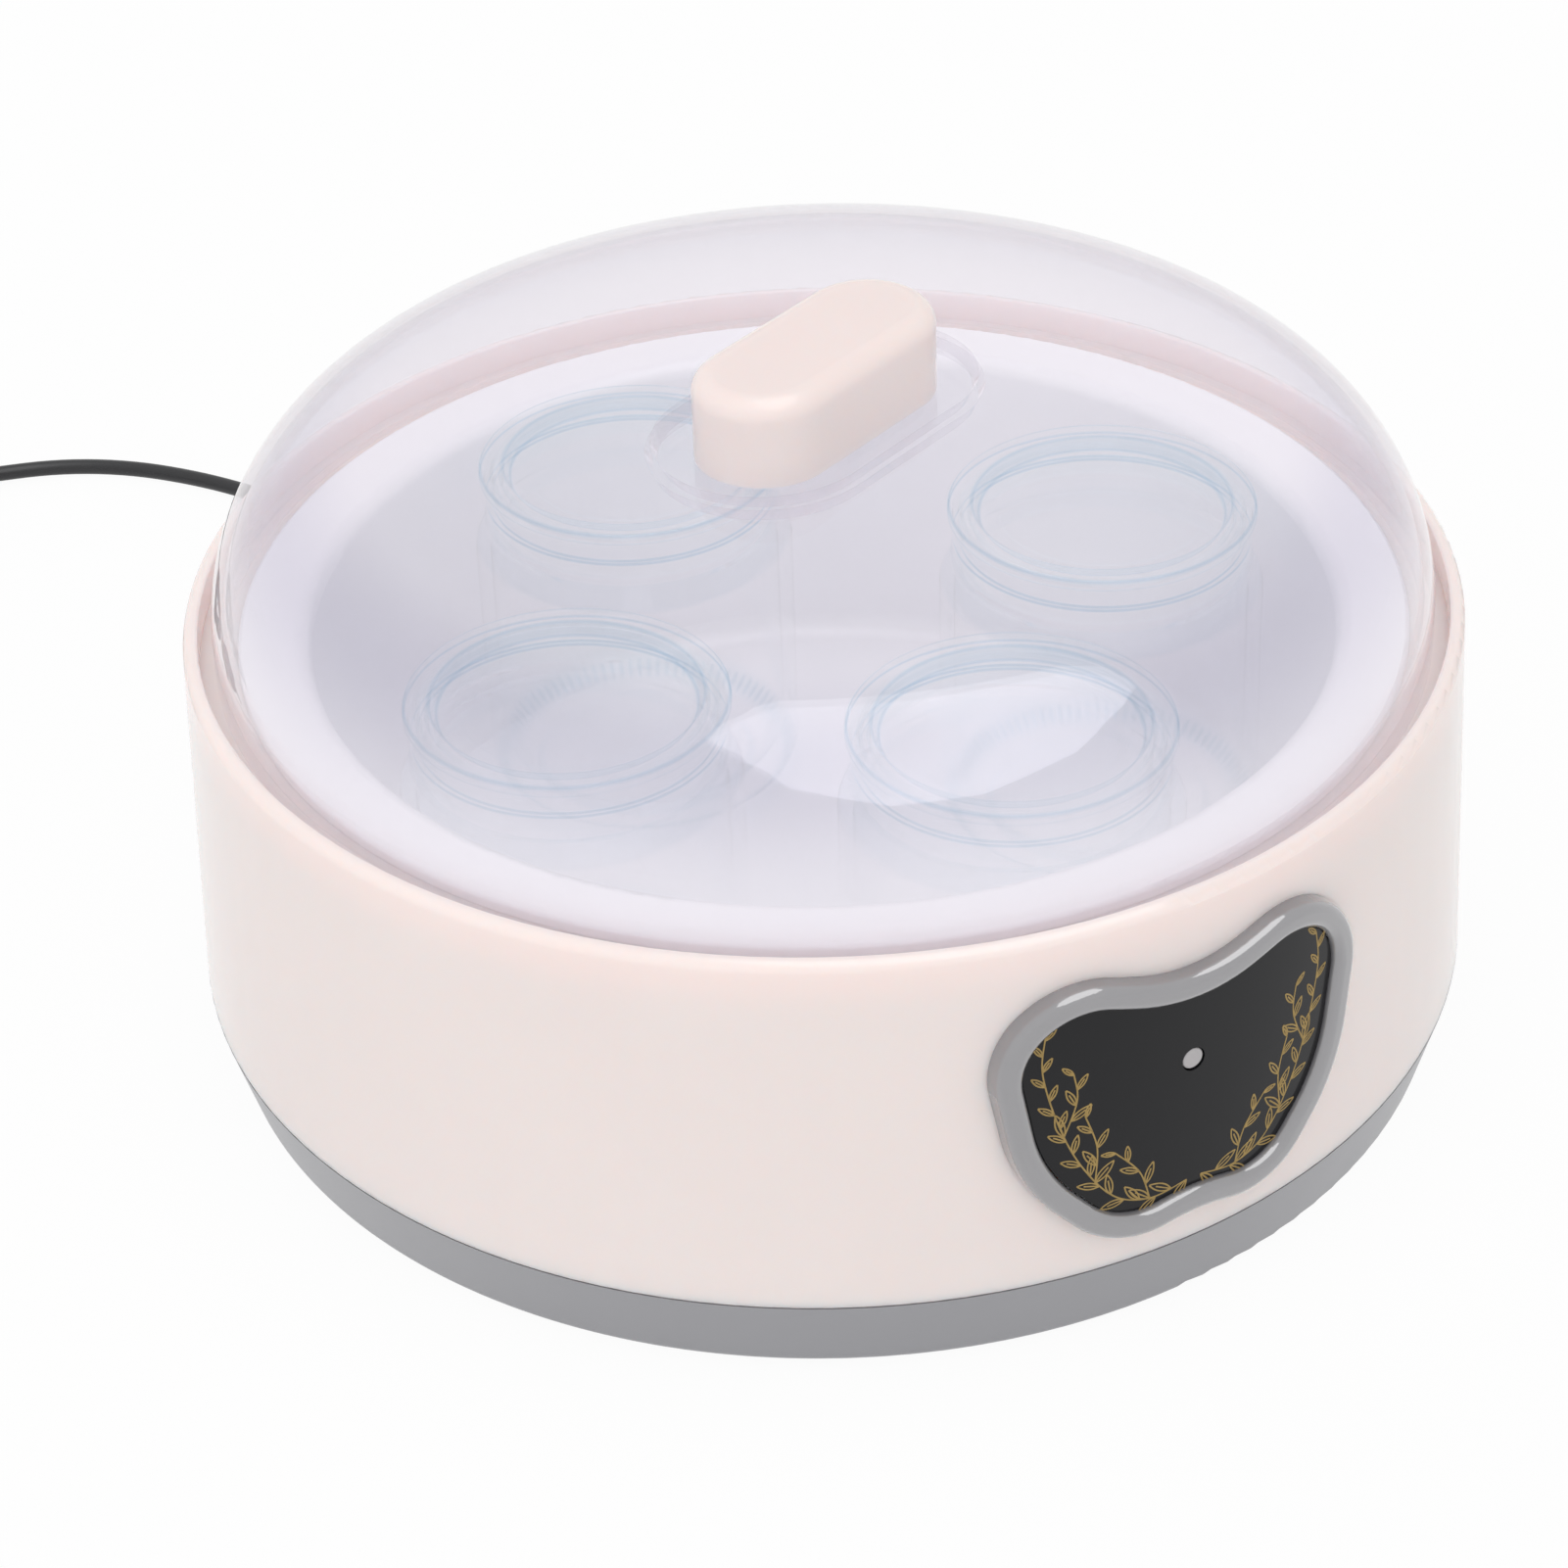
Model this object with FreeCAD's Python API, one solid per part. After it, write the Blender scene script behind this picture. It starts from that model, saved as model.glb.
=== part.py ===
import FreeCAD, Part
import math
import os

# Yogurt maker: a round casing with a warm tub, four capped glass jars and a clear domed lid.
# Millimetres, +Z up, origin on the table under the middle of the casing, badge facing -Y.

V = FreeCAD.Vector
UP = V(0, 0, 1)
ORIGIN = V(0, 0, 0)

# Clearances
BODY_GAP = 0.3             # between pieces that lift off each other
FIT_GAP = 0.2              # between fixed pieces that slip into each other
THREAD_GAP = 0.05          # between a screw and its pilot hole
CUT_PAST = 2.0             # how far a cutting tool runs past the face that it cuts
TOUCHING = 1e-6            # points closer than this are one point

# Base pan
FOOT_HEIGHT = 2.0          # free height that the feet leave under the pan
BASE_LEAN = 4.5            # how far the pan draws in from the seam to its bottom edge
BASE_HEIGHT = 16.3         # from the bottom edge to the seam
BASE_EDGE = 2.5            # rounding of the bottom edge
BASE_FLOOR = 2.5
BASE_WALL = 2.3
LAP_HEIGHT = 3.0           # tongue that rises inside the casing
LAP_WALL = 1.8

# Casing
RIM_RADIUS = 119.4         # outside of the rim before its rounding
CASING_LEAN = 2.9          # how far the casing spreads from the rim to the seam
SEAM_GAP = 0.3
CASING_HEIGHT = 72.3       # from the seam to the rim
CASING_WALL = 2.6
RIM_WALL = 2.7
RIM_EDGE = 2.0
RIM_INNER_EDGE = 0.5
RECESS_DEPTH = 5.8         # from the rim down to the ledge
LEDGE_WALL = 2.4
POST_RADIUS = 5.0          # screw posts under the ledge
POST_INSET = 11.4          # from the outside of the rim in to a screw post
POST_COUNT = 4
POST_FIRST = 45.0          # degrees from +X to the first post
POST_RIB = 2.0
PAD_HEIGHT = 3.5           # raised pads of the pan under the posts

# Inner tub
TUB_DRAFT = 1.4            # how far the wall draws in from the mouth to the floor
TUB_LIFT = 15.5            # floor of the tub above the floor of the pan
TUB_WALL = 2.0
TUB_CORNER = 5.0
FLANGE_WIDTH = 13.5
FLANGE_GAP = 2.4           # between the flange and the wall of the lid
FLANGE_WALL = 2.2
FLANGE_BEND = 3.0
FLANGE_EDGE = 0.8
RIB_WALL = 2.4             # ribs of the pan that carry the tub
RIB_LENGTH = 10.0
RIB_INSET = 4.6            # from the wall of the tub in to a rib
RIB_COUNT = 6

# Lid
LID_GAP = 2.8              # between the lid and the rim
LID_CORNER = 34.0          # rounding between the wall and the crown
LID_CROWN = 800.0          # radius of the shallow crown
LID_RISE = 38.8            # from the rim to the top of the crown
LID_WALL = 2.0
LID_TURN = 20.7            # degrees from +X to the long way of the handle
WELL_DEPTH = 3.6           # finger well, below the top of the crown
WELL_MARGIN = 9.0          # finger room around the handle
WELL_SLOPE = 1.6           # how far the well draws in towards its floor

# Handle
HANDLE_SPAN = 30.0         # between the middles of its two round ends
HANDLE_RADIUS = 12.9
HANDLE_HEIGHT = 17.0
HANDLE_EDGE = 4.0
HANDLE_WALL = 2.2
HANDLE_BOSS = 4.0

# Jars, each place given as the gap to the tub's wall and degrees from +X
JAR_PLACES = [(4.5, -172.7), (4.6, -85.5), (2.2, -3.4), (1.6, 97.1)]
JAR_RADIUS = 31.5
JAR_HEIGHT = 68.0
JAR_WALL = 2.8
JAR_FLOOR = 4.2
JAR_HEEL = 6.0             # rounding at the foot
PUNT_RADIUS = 21.0         # hollow under the jar
PUNT_DEPTH = 1.6
NECK_RADIUS = 27.3
NECK_HEIGHT = 8.4          # upright neck above the bead
NECK_WALL = 2.0
BEAD_PROUD = 2.1
BEAD_HEIGHT = 2.2
SHOULDER_HEIGHT = 4.0

# Caps
CAP_WALL = 1.2
CAP_SKIRT = 8.0            # how far the skirt comes down over the neck
SKIRT_GAP = 0.4            # between the skirt and the neck
CAP_BRIM = 1.0             # how far the top stands out over the skirt
CAP_BRIM_HEIGHT = 2.2
CAP_LAND = 1.9             # thickness over the mouth of the jar
CAP_SINK = 2.7             # from the rim of the cap down to its plate
CAP_PLATE = 1.2
CAP_EDGE = 0.9
CAP_RING_RADIUS = 20.0     # raised ring on the plate
CAP_RING_WALL = 1.2
CAP_RING_HEIGHT = 0.5

# Badge, its outline given in front view from its middle
BADGE_DROP = 1.85          # middle of the badge below the middle of the casing
BADGE_NOTCH = (22.6, 36.0)              # height and rounding of the dip on top
BADGE_LOBE = (41.1, 34.9, 16.6)         # upper corner and its rounding
BADGE_FLANK = (33.5, -10.5, 34.0)       # bend in the side
BADGE_FOOT = (16.8, -28.8, 18.0)        # lower corner
BADGE_DIP = (-25.4, 28.0)               # height and rounding of the dip below
BEZEL_WIDTH = 4.8
BEZEL_PROUD = 3.8
BEZEL_EDGE = 1.8
PEG_RADIUS = 1.8
PEG_PLACE = (34.2, 8.0)    # pegs on the back of the bezel, sideways and up
PANEL_PROUD = 1.8

# Indicator lamp
LAMP_UP = 5.8              # above the middle of the badge
LAMP_RADIUS = 2.1
LAMP_LENGTH = 8.6
LAMP_EDGE = 0.3
LAMP_COLLAR = (2.6, 1.0)   # radius and height
BOARD_SIZE = (22.0, 1.6, 14.0)
BOARD_POST = (2.8, 7.6)    # radius, and distance sideways from the lamp
BOARD_GAP = 0.2            # from the lamp tip back to the face of the panel

# Heater under the tub
SPREADER_GAP = 8.0         # between the plate and the ribs of the pan
SPREADER_WALL = 1.2
STRAP_SIZE = (106.0, 14.0, 1.0)
STRAP_HOLE = 46.0          # from the middle to a strap screw
BOSS_RADIUS = 3.5
HEATER_SIZE = (52.0, 26.0, 4.6)
HEATER_PLACE = -12.0       # middle of the heater along X
CUTOUT_SIZE = (18.0, 12.0, 4.6)
CUTOUT_PLACE = 29.0
TAB_SIZE = (3.0, 5.0, 0.8)
TAB_SPREAD = (38.0, 10.0)  # between the two tabs of the heater and of the cutout

# Screws: shank radius, head radius, head height
BASE_SCREW = (1.75, 3.4, 2.4)
BASE_SCREW_LENGTH = 16.0
SMALL_SCREW = (1.4, 2.7, 1.8)
STRAP_SCREW_LENGTH = 6.0
BOARD_SCREW_LENGTH = 5.0
HANDLE_SCREW_LENGTH = 12.0
CLAMP_SCREW_LENGTH = 7.0
HEAD_SINK = 3.0            # depth of the screw wells under the pan
RECESS_SLOT = 0.7          # width of the cross slot in a screw head

# Feet
FOOT_RADIUS = 7.0
FOOT_INSET = 21.8          # from the bottom edge of the pan in to a foot
FOOT_SINK = 1.0
FOOT_COUNT = 4

# Cord, its gland and what it joins inside
CORD_RADIUS = 1.8
CORD_HEIGHT = 8.15         # axis above the bottom edge of the pan
GLAND_RADIUS = 4.4
GLAND_FLANGE = 6.3
GLAND_FLANGE_WALL = 2.6
GLAND_BOOT = 20.0          # length of the tapered boot
GLAND_TIP = 2.9
GLAND_RINGS = 5
TERMINAL_SIZE = (24.0, 14.0, 11.0)
TERMINAL_GAP = 31.0        # from the clamp in to the terminal block
CLAMP_SIZE = (26.0, 8.0, 3.0)
CLAMP_INSET = 19.05        # from the wall of the pan in to the clamp
CLAMP_HOLE = 8.5
LEAD_RADIUS = 0.9
LEAD_RUN = 10.5            # straight run of a lead before it turns

# Route of the free cord, from the gland to the coil: sideways, behind the gland's tip,
# and above the height at which the cord lies on the table
CORD_LEAVE = 12.35         # straight run out of the gland
CORD_ROUTE = [(-3.0, 29.35, 3.3), (-9.0, 60.35, 0), (-22.0, 95.35, 0), (-46.5, 124.15, 0.2)]
TABLE_GAP = 0.1            # under the cord and the coil's tie
COIL_APPROACH = 24.0       # last straight run before the coil
BEND_SHARE = 0.45          # share of the shorter run that a bend takes

# Coil of the put-away length, its tie and the plug
COIL_MIDDLE = (-113.0, 114.35)          # sideways and behind the gland's tip
COIL_START = 76.0          # degrees, where the cord comes in
COIL_OUTER = 26.8
TURN_GAP = 0.6             # between neighbouring turns
COIL_QUARTERS = 25         # quarter turns in both layers together
LAYER_GAP = 0.5            # between the two layers
COIL_TAIL = 20.0           # straight end that reaches the plug
TIE_ANGLE = -60.0
TIE_WIDTH = 8.0
TIE_WALL = 0.7
TIE_GAP = 0.35
PLUG_TAIL = 11.0
PLUG_LENGTH = 32.0
PLUG_WIDTH = 25.0
PLUG_THICK = 13.6
PLUG_CORNER = 7.0
PLUG_EDGE = 2.0
PIN_RADIUS = 2.0
PIN_LENGTH = 19.0
PIN_SPREAD = 18.6

# Radii that follow from the sizes above
SEAM_RADIUS = RIM_RADIUS + CASING_LEAN
BASE_RADIUS = SEAM_RADIUS - BASE_LEAN
RECESS_RADIUS = RIM_RADIUS - RIM_WALL
POST_PLACE = RIM_RADIUS - POST_INSET
LID_RADIUS = RECESS_RADIUS - LID_GAP
FLANGE_RADIUS = LID_RADIUS - LID_WALL - FLANGE_GAP
TUB_MOUTH_RADIUS = FLANGE_RADIUS - FLANGE_WIDTH
TUB_FLOOR_RADIUS = TUB_MOUTH_RADIUS - TUB_DRAFT
LEDGE_RADIUS = TUB_MOUTH_RADIUS + TUB_WALL + FIT_GAP
RIB_OUTER = TUB_FLOOR_RADIUS - RIB_INSET
RIB_INNER = RIB_OUTER - RIB_LENGTH
SPREADER_RADIUS = RIB_INNER - SPREADER_GAP
FOOT_PLACE = BASE_RADIUS - FOOT_INSET

# Heights that follow from the sizes above
Z_BASE = FOOT_HEIGHT
Z_PAN = Z_BASE + BASE_FLOOR
Z_SEAM = Z_BASE + BASE_HEIGHT
Z_RIM = Z_SEAM + CASING_HEIGHT
Z_LEDGE = Z_RIM - RECESS_DEPTH
Z_FLANGE = Z_LEDGE + FLANGE_WALL
Z_FLOOR = Z_PAN + TUB_LIFT
Z_TUB = Z_FLOOR - TUB_WALL
Z_PAD = Z_PAN + PAD_HEIGHT
Z_SPREADER = Z_TUB - SPREADER_WALL
Z_STRAP = Z_SPREADER - HEATER_SIZE[2]
Z_LID = Z_LEDGE + BODY_GAP
Z_CROWN = Z_RIM + LID_RISE
Z_WELL = Z_CROWN - WELL_DEPTH
Z_JAR = Z_FLOOR + BODY_GAP
Z_MOUTH = Z_JAR + JAR_HEIGHT
Z_CAP = Z_MOUTH + BODY_GAP + CAP_LAND
Z_BADGE = Z_SEAM + CASING_HEIGHT / 2 - BADGE_DROP
Z_LAMP = Z_BADGE + LAMP_UP
Z_CORD = Z_BASE + CORD_HEIGHT
Z_LYING = TABLE_GAP + CORD_RADIUS
COIL_PITCH = 2 * CORD_RADIUS + TURN_GAP
COIL_LAYER = 2 * CORD_RADIUS + LAYER_GAP
COIL_LOW = Z_LYING + TIE_WALL + TIE_GAP


def casing_radius(z):
    """Outside radius of the casing at height z."""
    return SEAM_RADIUS + (RIM_RADIUS - SEAM_RADIUS) * (z - Z_SEAM) / CASING_HEIGHT


def base_radius(z):
    """Outside radius of the base pan at height z."""
    return BASE_RADIUS + (SEAM_RADIUS - BASE_RADIUS) * (z - Z_BASE) / BASE_HEIGHT


def polar(distance, degrees, z=0.0):
    """Point at a distance and angle around the middle."""
    angle = math.radians(degrees)
    return V(distance * math.cos(angle), distance * math.sin(angle), z)


def line(start, end):
    return Part.LineSegment(start, end).toShape()


def arc(start, middle, end):
    return Part.Arc(start, middle, end).toShape()


def flat(point):
    """Plan view: outline drawn in X and Y."""
    return V(point.x, point.y, 0)


def upright(point):
    """Side view: outline drawn in X and Z."""
    return V(point.x, 0, point.y)


def rounded_wire(corners, view):
    """Closed wire through corners (u, v, radius), each rounded by its own radius, 0 for sharp."""
    turns = []
    for i, (u, v, radius) in enumerate(corners):
        here = V(u, v, 0)
        back = (V(*corners[i - 1][:2], 0) - here).normalize()
        ahead = (V(*corners[(i + 1) % len(corners)][:2], 0) - here).normalize()
        half = back.getAngle(ahead) / 2
        inward = (back + ahead).normalize()
        cut = radius / math.tan(half)
        middle = here + inward * (radius / math.sin(half) - radius)
        turns.append((here + back * cut, middle, here + ahead * cut))
    edges = []
    for i, (start, middle, end) in enumerate(turns):
        last = turns[i - 1][2]
        if last.distanceToPoint(start) > TOUCHING:
            edges.append(line(view(last), view(start)))
        if start.distanceToPoint(end) > TOUCHING:
            edges.append(arc(view(start), view(middle), view(end)))
    return Part.Wire(edges)


def turned(corners):
    """Solid turned around the upright axis from an outline of (radius, height, rounding)."""
    return Part.Face(rounded_wire(corners, upright)).revolve(ORIGIN, UP, 360)


def disc(radius, height, z, place=ORIGIN):
    """Upright cylinder standing on height z."""
    return Part.makeCylinder(radius, height, V(place.x, place.y, z))


def block(size, middle, z):
    """Box of the given size, centred in plan and standing on height z."""
    return Part.makeBox(*size, V(middle.x - size[0] / 2, middle.y - size[1] / 2, z))


def stadium(span, radius, z):
    """Wire of an oblong with round ends, its long way along X."""
    half = span / 2
    corners = [V(half, -radius, z), V(half, radius, z), V(-half, radius, z), V(-half, -radius, z)]
    return Part.Wire([
        arc(corners[0], V(half + radius, 0, z), corners[1]),
        line(corners[1], corners[2]),
        arc(corners[2], V(-half - radius, 0, z), corners[3]),
        line(corners[3], corners[0]),
    ])


def prism(wire, height):
    return Part.Face(wire).extrude(UP * height)


def spun(shape, degrees):
    """Copy of a shape turned around the upright axis."""
    copy = shape.copy()
    copy.rotate(ORIGIN, UP, degrees)
    return copy


def joined(pieces):
    return pieces[0].multiFuse(pieces[1:]).removeSplitter()


def around(count, first=0.0):
    """Angles of equal steps around the middle."""
    return [first + 360.0 * i / count for i in range(count)]


def screw(seat, along, size, length):
    """Screw whose head bears on seat and whose shank points along a direction."""
    radius, head_radius, head_height = size
    body = disc(head_radius, head_height, -head_height).fuse(disc(radius, length, 0))
    depth = head_height / 2
    for turn in (0, 90):
        slot = block((head_radius, RECESS_SLOT, depth), ORIGIN, -head_height)
        body = body.cut(spun(slot, turn))
    body = body.removeSplitter()
    body.Placement = FreeCAD.Placement(seat, FreeCAD.Rotation(UP, along))
    return body


def pilot(seat, along, size, length):
    """Hole for a screw's thread."""
    return Part.makeCylinder(size[0] + THREAD_GAP, length + FIT_GAP, seat, along)


def post_places():
    return [polar(POST_PLACE, angle) for angle in around(POST_COUNT, POST_FIRST)]


def base_screw_seat(place):
    return V(place.x, place.y, Z_BASE + HEAD_SINK)


def clamp_middle():
    return V(0, base_radius(Z_CORD) - CLAMP_INSET, 0)


def clamp_places():
    return [clamp_middle() + V(side * CLAMP_HOLE, 0, 0) for side in (-1, 1)]


def terminal_middle():
    return clamp_middle() - V(0, TERMINAL_GAP, 0)


def base_pan():
    """Grey pan with screw wells, foot seats, ribs under the tub and a saddle for the cord."""
    casing_inside = SEAM_RADIUS - CASING_WALL
    lap_outer = casing_inside - FIT_GAP
    pan = turned([
        (0, Z_BASE, 0), (BASE_RADIUS, Z_BASE, BASE_EDGE), (SEAM_RADIUS, Z_SEAM, 0),
        (lap_outer, Z_SEAM, 0), (lap_outer, Z_SEAM + LAP_HEIGHT, 0),
        (lap_outer - LAP_WALL, Z_SEAM + LAP_HEIGHT, 0),
        (base_radius(Z_PAN) - BASE_WALL, Z_PAN, 0), (0, Z_PAN, 0),
    ])
    saddle_top = Z_CORD - CORD_RADIUS
    clamp_under = Z_CORD + CORD_RADIUS
    added = [block((CLAMP_SIZE[0], CLAMP_SIZE[1], saddle_top - Z_PAN), clamp_middle(), Z_PAN)]
    for place in clamp_places():
        added.append(disc(CLAMP_SIZE[1] / 2, clamp_under - Z_PAN, Z_PAN, place))
    for place in post_places():
        added.append(disc(POST_RADIUS, PAD_HEIGHT, Z_PAN, place))
    for angle in around(RIB_COUNT):
        middle = V((RIB_INNER + RIB_OUTER) / 2, 0, 0)
        rib = block((RIB_OUTER - RIB_INNER, RIB_WALL, Z_TUB - Z_PAN), middle, Z_PAN)
        added.append(spun(rib, angle))
    pan = joined([pan] + added)
    for place in post_places():
        seat = base_screw_seat(place)
        pan = pan.cut(disc(BASE_SCREW[0] + FIT_GAP, PAD_HEIGHT + BASE_FLOOR, Z_BASE, seat))
        pan = pan.cut(disc(BASE_SCREW[1] + FIT_GAP, HEAD_SINK, Z_BASE, seat))
    for angle in around(FOOT_COUNT):
        pan = pan.cut(disc(FOOT_RADIUS, FOOT_SINK, Z_BASE, polar(FOOT_PLACE, angle)))
    for place in clamp_places():
        seat = V(place.x, place.y, clamp_under)
        pan = pan.cut(pilot(seat, -UP, SMALL_SCREW, CLAMP_SCREW_LENGTH))
    through = gland_tip() - gland_root()
    return pan.cut(Part.makeCylinder(GLAND_RADIUS, through, V(0, gland_root(), Z_CORD), V(0, 1, 0)))


def lamp_base():
    """Height of the front face of the lamp board, measured along Y."""
    panel_face = casing_radius(Z_LAMP) + PANEL_PROUD
    return -(panel_face - BOARD_GAP) + LAMP_LENGTH


def board_post_places():
    return [V(side * BOARD_POST[1], lamp_base(), Z_LAMP) for side in (-1, 1)]


def peg_places():
    return [V(side * PEG_PLACE[0], 0, Z_BADGE + PEG_PLACE[1]) for side in (-1, 1)]


def toward_front(radius, place, start, end):
    """Cylinder along Y through a place in front view, between two Y values."""
    return Part.makeCylinder(radius, start - end, V(place.x, start, place.z), V(0, -1, 0))


def outer_casing():
    """Cream shell with its rim, the ledge inside it, screw posts and lamp posts."""
    bottom = Z_SEAM + SEAM_GAP
    under = Z_LEDGE - LEDGE_WALL
    shell = turned([
        (casing_radius(bottom), bottom, 0), (RIM_RADIUS, Z_RIM, RIM_EDGE),
        (RECESS_RADIUS, Z_RIM, RIM_INNER_EDGE), (RECESS_RADIUS, Z_LEDGE, 0),
        (LEDGE_RADIUS, Z_LEDGE, 0), (LEDGE_RADIUS, under, 0),
        (casing_radius(under) - CASING_WALL, under, 0),
        (casing_radius(bottom) - CASING_WALL, bottom, 0),
    ])
    added = []
    for place, angle in zip(post_places(), around(POST_COUNT, POST_FIRST)):
        added.append(disc(POST_RADIUS, Z_LEDGE - LEDGE_WALL / 2 - Z_PAD, Z_PAD, place))
        lap_top = Z_SEAM + LAP_HEIGHT + FIT_GAP
        wall_middle = casing_radius(Z_RIM) - CASING_WALL
        rib = block((wall_middle - POST_PLACE, POST_RIB, under - lap_top),
                    V((wall_middle + POST_PLACE) / 2, 0, 0), lap_top)
        added.append(spun(rib, angle))
    wall_inside = -(casing_radius(Z_LAMP) - CASING_WALL / 2)
    for place in board_post_places():
        added.append(toward_front(BOARD_POST[0], place, lamp_base(), wall_inside))
    shell = joined([shell] + added)
    front = -(SEAM_RADIUS + CUT_PAST)
    shell = shell.cut(toward_front(LAMP_RADIUS + FIT_GAP, V(0, 0, Z_LAMP), lamp_base(), front))
    for place in peg_places():
        shell = shell.cut(toward_front(PEG_RADIUS + FIT_GAP, place, -LEDGE_RADIUS, front))
    for place in board_post_places():
        shell = shell.cut(pilot(place, V(0, -1, 0), SMALL_SCREW, BOARD_SCREW_LENGTH - BOARD_SIZE[1]))
    for place in post_places():
        shell = shell.cut(pilot(base_screw_seat(place), UP, BASE_SCREW, BASE_SCREW_LENGTH))
    return shell


def boss_places():
    return [V(side * STRAP_HOLE, 0, 0) for side in (-1, 1)]


def inner_tub():
    """Pale liner that hangs by its flange, with two bosses under the floor for the strap."""
    outer = TUB_MOUTH_RADIUS + TUB_WALL
    tub = turned([
        (0, Z_FLOOR, 0), (TUB_FLOOR_RADIUS, Z_FLOOR, TUB_CORNER),
        (TUB_MOUTH_RADIUS, Z_FLANGE, FLANGE_BEND), (FLANGE_RADIUS, Z_FLANGE, FLANGE_EDGE),
        (FLANGE_RADIUS, Z_LEDGE, 0), (outer, Z_LEDGE, 0),
        (TUB_FLOOR_RADIUS + TUB_WALL, Z_TUB, TUB_CORNER + TUB_WALL), (0, Z_TUB, 0),
    ])
    bosses = [disc(BOSS_RADIUS, Z_FLOOR - TUB_WALL / 2 - Z_STRAP, Z_STRAP, place) for place in boss_places()]
    tub = joined([tub] + bosses)
    for place in boss_places():
        seat = V(place.x, place.y, Z_STRAP - STRAP_SIZE[2])
        tub = tub.cut(pilot(seat, UP, SMALL_SCREW, STRAP_SCREW_LENGTH))
    return tub


def heat_spreader():
    """Aluminium plate under the tub floor, with holes for the strap bosses."""
    plate = disc(SPREADER_RADIUS, SPREADER_WALL, Z_SPREADER)
    for place in boss_places():
        plate = plate.cut(disc(BOSS_RADIUS + FIT_GAP, SPREADER_WALL, Z_SPREADER, place))
    return plate


def tab_places(middle, size, spread):
    """Free ends of the two connection tabs on the rear side of a part under the spreader."""
    height = Z_STRAP + size[2] / 2
    return [V(middle + side * spread / 2, size[1] / 2 + TAB_SIZE[1], height) for side in (-1, 1)]


def tabbed_block(middle, size, spread):
    """Flat block pressed against the spreader, with its two connection tabs."""
    pieces = [block(size, V(middle, 0, 0), Z_STRAP)]
    for end in tab_places(middle, size, spread):
        root = V(end.x, end.y - TAB_SIZE[1] / 2 - FIT_GAP, 0)
        length = TAB_SIZE[1] + 2 * FIT_GAP
        pieces.append(block((TAB_SIZE[0], length, TAB_SIZE[2]), root, end.z - TAB_SIZE[2] / 2))
    return joined(pieces)


def heater_clamp():
    """Spring strap under the heater and the cutout."""
    strap = block(STRAP_SIZE, ORIGIN, Z_STRAP - STRAP_SIZE[2])
    for place in boss_places():
        strap = strap.cut(disc(SMALL_SCREW[0] + FIT_GAP, STRAP_SIZE[2], Z_STRAP - STRAP_SIZE[2], place))
    return strap


def badge_outline(inset):
    """Closed outline of the badge in front view, drawn in by inset, as a wire in X and Z."""
    right = [BADGE_LOBE, BADGE_FLANK, BADGE_FOOT]
    left = [(-u, v, radius) for u, v, radius in reversed(right)]
    corners = [(0, *BADGE_NOTCH)] + right + [(0, *BADGE_DIP)] + left
    wire = rounded_wire(corners, flat)
    if inset:
        wire = wire.makeOffset2D(-inset)
    wire.rotate(ORIGIN, V(1, 0, 0), 90)
    wire.translate(V(0, 0, Z_BADGE))
    return wire


def badge_layer(inset, back, front):
    """Plate of the badge outline that follows the casing, between two distances from it."""
    low = Z_SEAM + SEAM_GAP
    high = Z_RIM - RIM_EDGE
    layer = turned([
        (casing_radius(low) + back, low, 0), (casing_radius(low) + front, low, 0),
        (casing_radius(high) + front, high, 0), (casing_radius(high) + back, high, 0),
    ])
    outline = badge_outline(inset)
    outline.translate(V(0, -SEAM_RADIUS - BEZEL_PROUD - CUT_PAST, 0))
    return layer.common(Part.Face(outline).extrude(V(0, SEAM_RADIUS, 0)))


def badge_bezel():
    """Rounded frame of the badge, with two pegs through the casing."""
    ring = badge_layer(0, 0, BEZEL_PROUD).cut(badge_layer(BEZEL_WIDTH, -CUT_PAST, BEZEL_PROUD + CUT_PAST))
    rims = []
    for edge in ring.Edges:
        ends = [vertex.Point for vertex in edge.Vertexes]
        reach = [math.hypot(end.x, end.y) - casing_radius(end.z) for end in ends]
        if min(reach) > BEZEL_PROUD - FIT_GAP:
            rims.append(edge)
    ring = ring.makeFillet(BEZEL_EDGE, rims)
    pegs = []
    for place in peg_places():
        surface = math.sqrt(casing_radius(place.z) ** 2 - place.x ** 2)
        pegs.append(toward_front(PEG_RADIUS, place, -surface + 2 * CASING_WALL, -surface - BEZEL_PROUD / 2))
    return joined([ring] + pegs)


def badge_panel():
    """Black plate inside the bezel, with a hole for the lamp."""
    plate = badge_layer(BEZEL_WIDTH + FIT_GAP, 0, PANEL_PROUD)
    front = -(SEAM_RADIUS + BEZEL_PROUD)
    return plate.cut(toward_front(LAMP_RADIUS + FIT_GAP, V(0, 0, Z_LAMP), lamp_base(), front))


def indicator_lamp():
    """Flat-topped lamp that shows in the hole of the panel."""
    foot = V(0, lamp_base(), Z_LAMP)
    tip = foot.y - LAMP_LENGTH
    stem = toward_front(LAMP_RADIUS, foot, foot.y, tip)
    rims = [edge for edge in stem.Edges if edge.BoundBox.YMax < tip + LAMP_EDGE]
    stem = stem.makeFillet(LAMP_EDGE, rims)
    collar = toward_front(LAMP_COLLAR[0], foot, foot.y, foot.y - LAMP_COLLAR[1])
    return joined([stem, collar])


def lamp_board():
    """Small circuit board behind the lamp."""
    width, depth, height = BOARD_SIZE
    board = Part.makeBox(width, depth, height, V(-width / 2, lamp_base(), Z_LAMP - height / 2))
    for place in board_post_places():
        hole = Part.makeCylinder(SMALL_SCREW[0] + FIT_GAP, depth, place, V(0, 1, 0))
        board = board.cut(hole)
    return board


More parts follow.
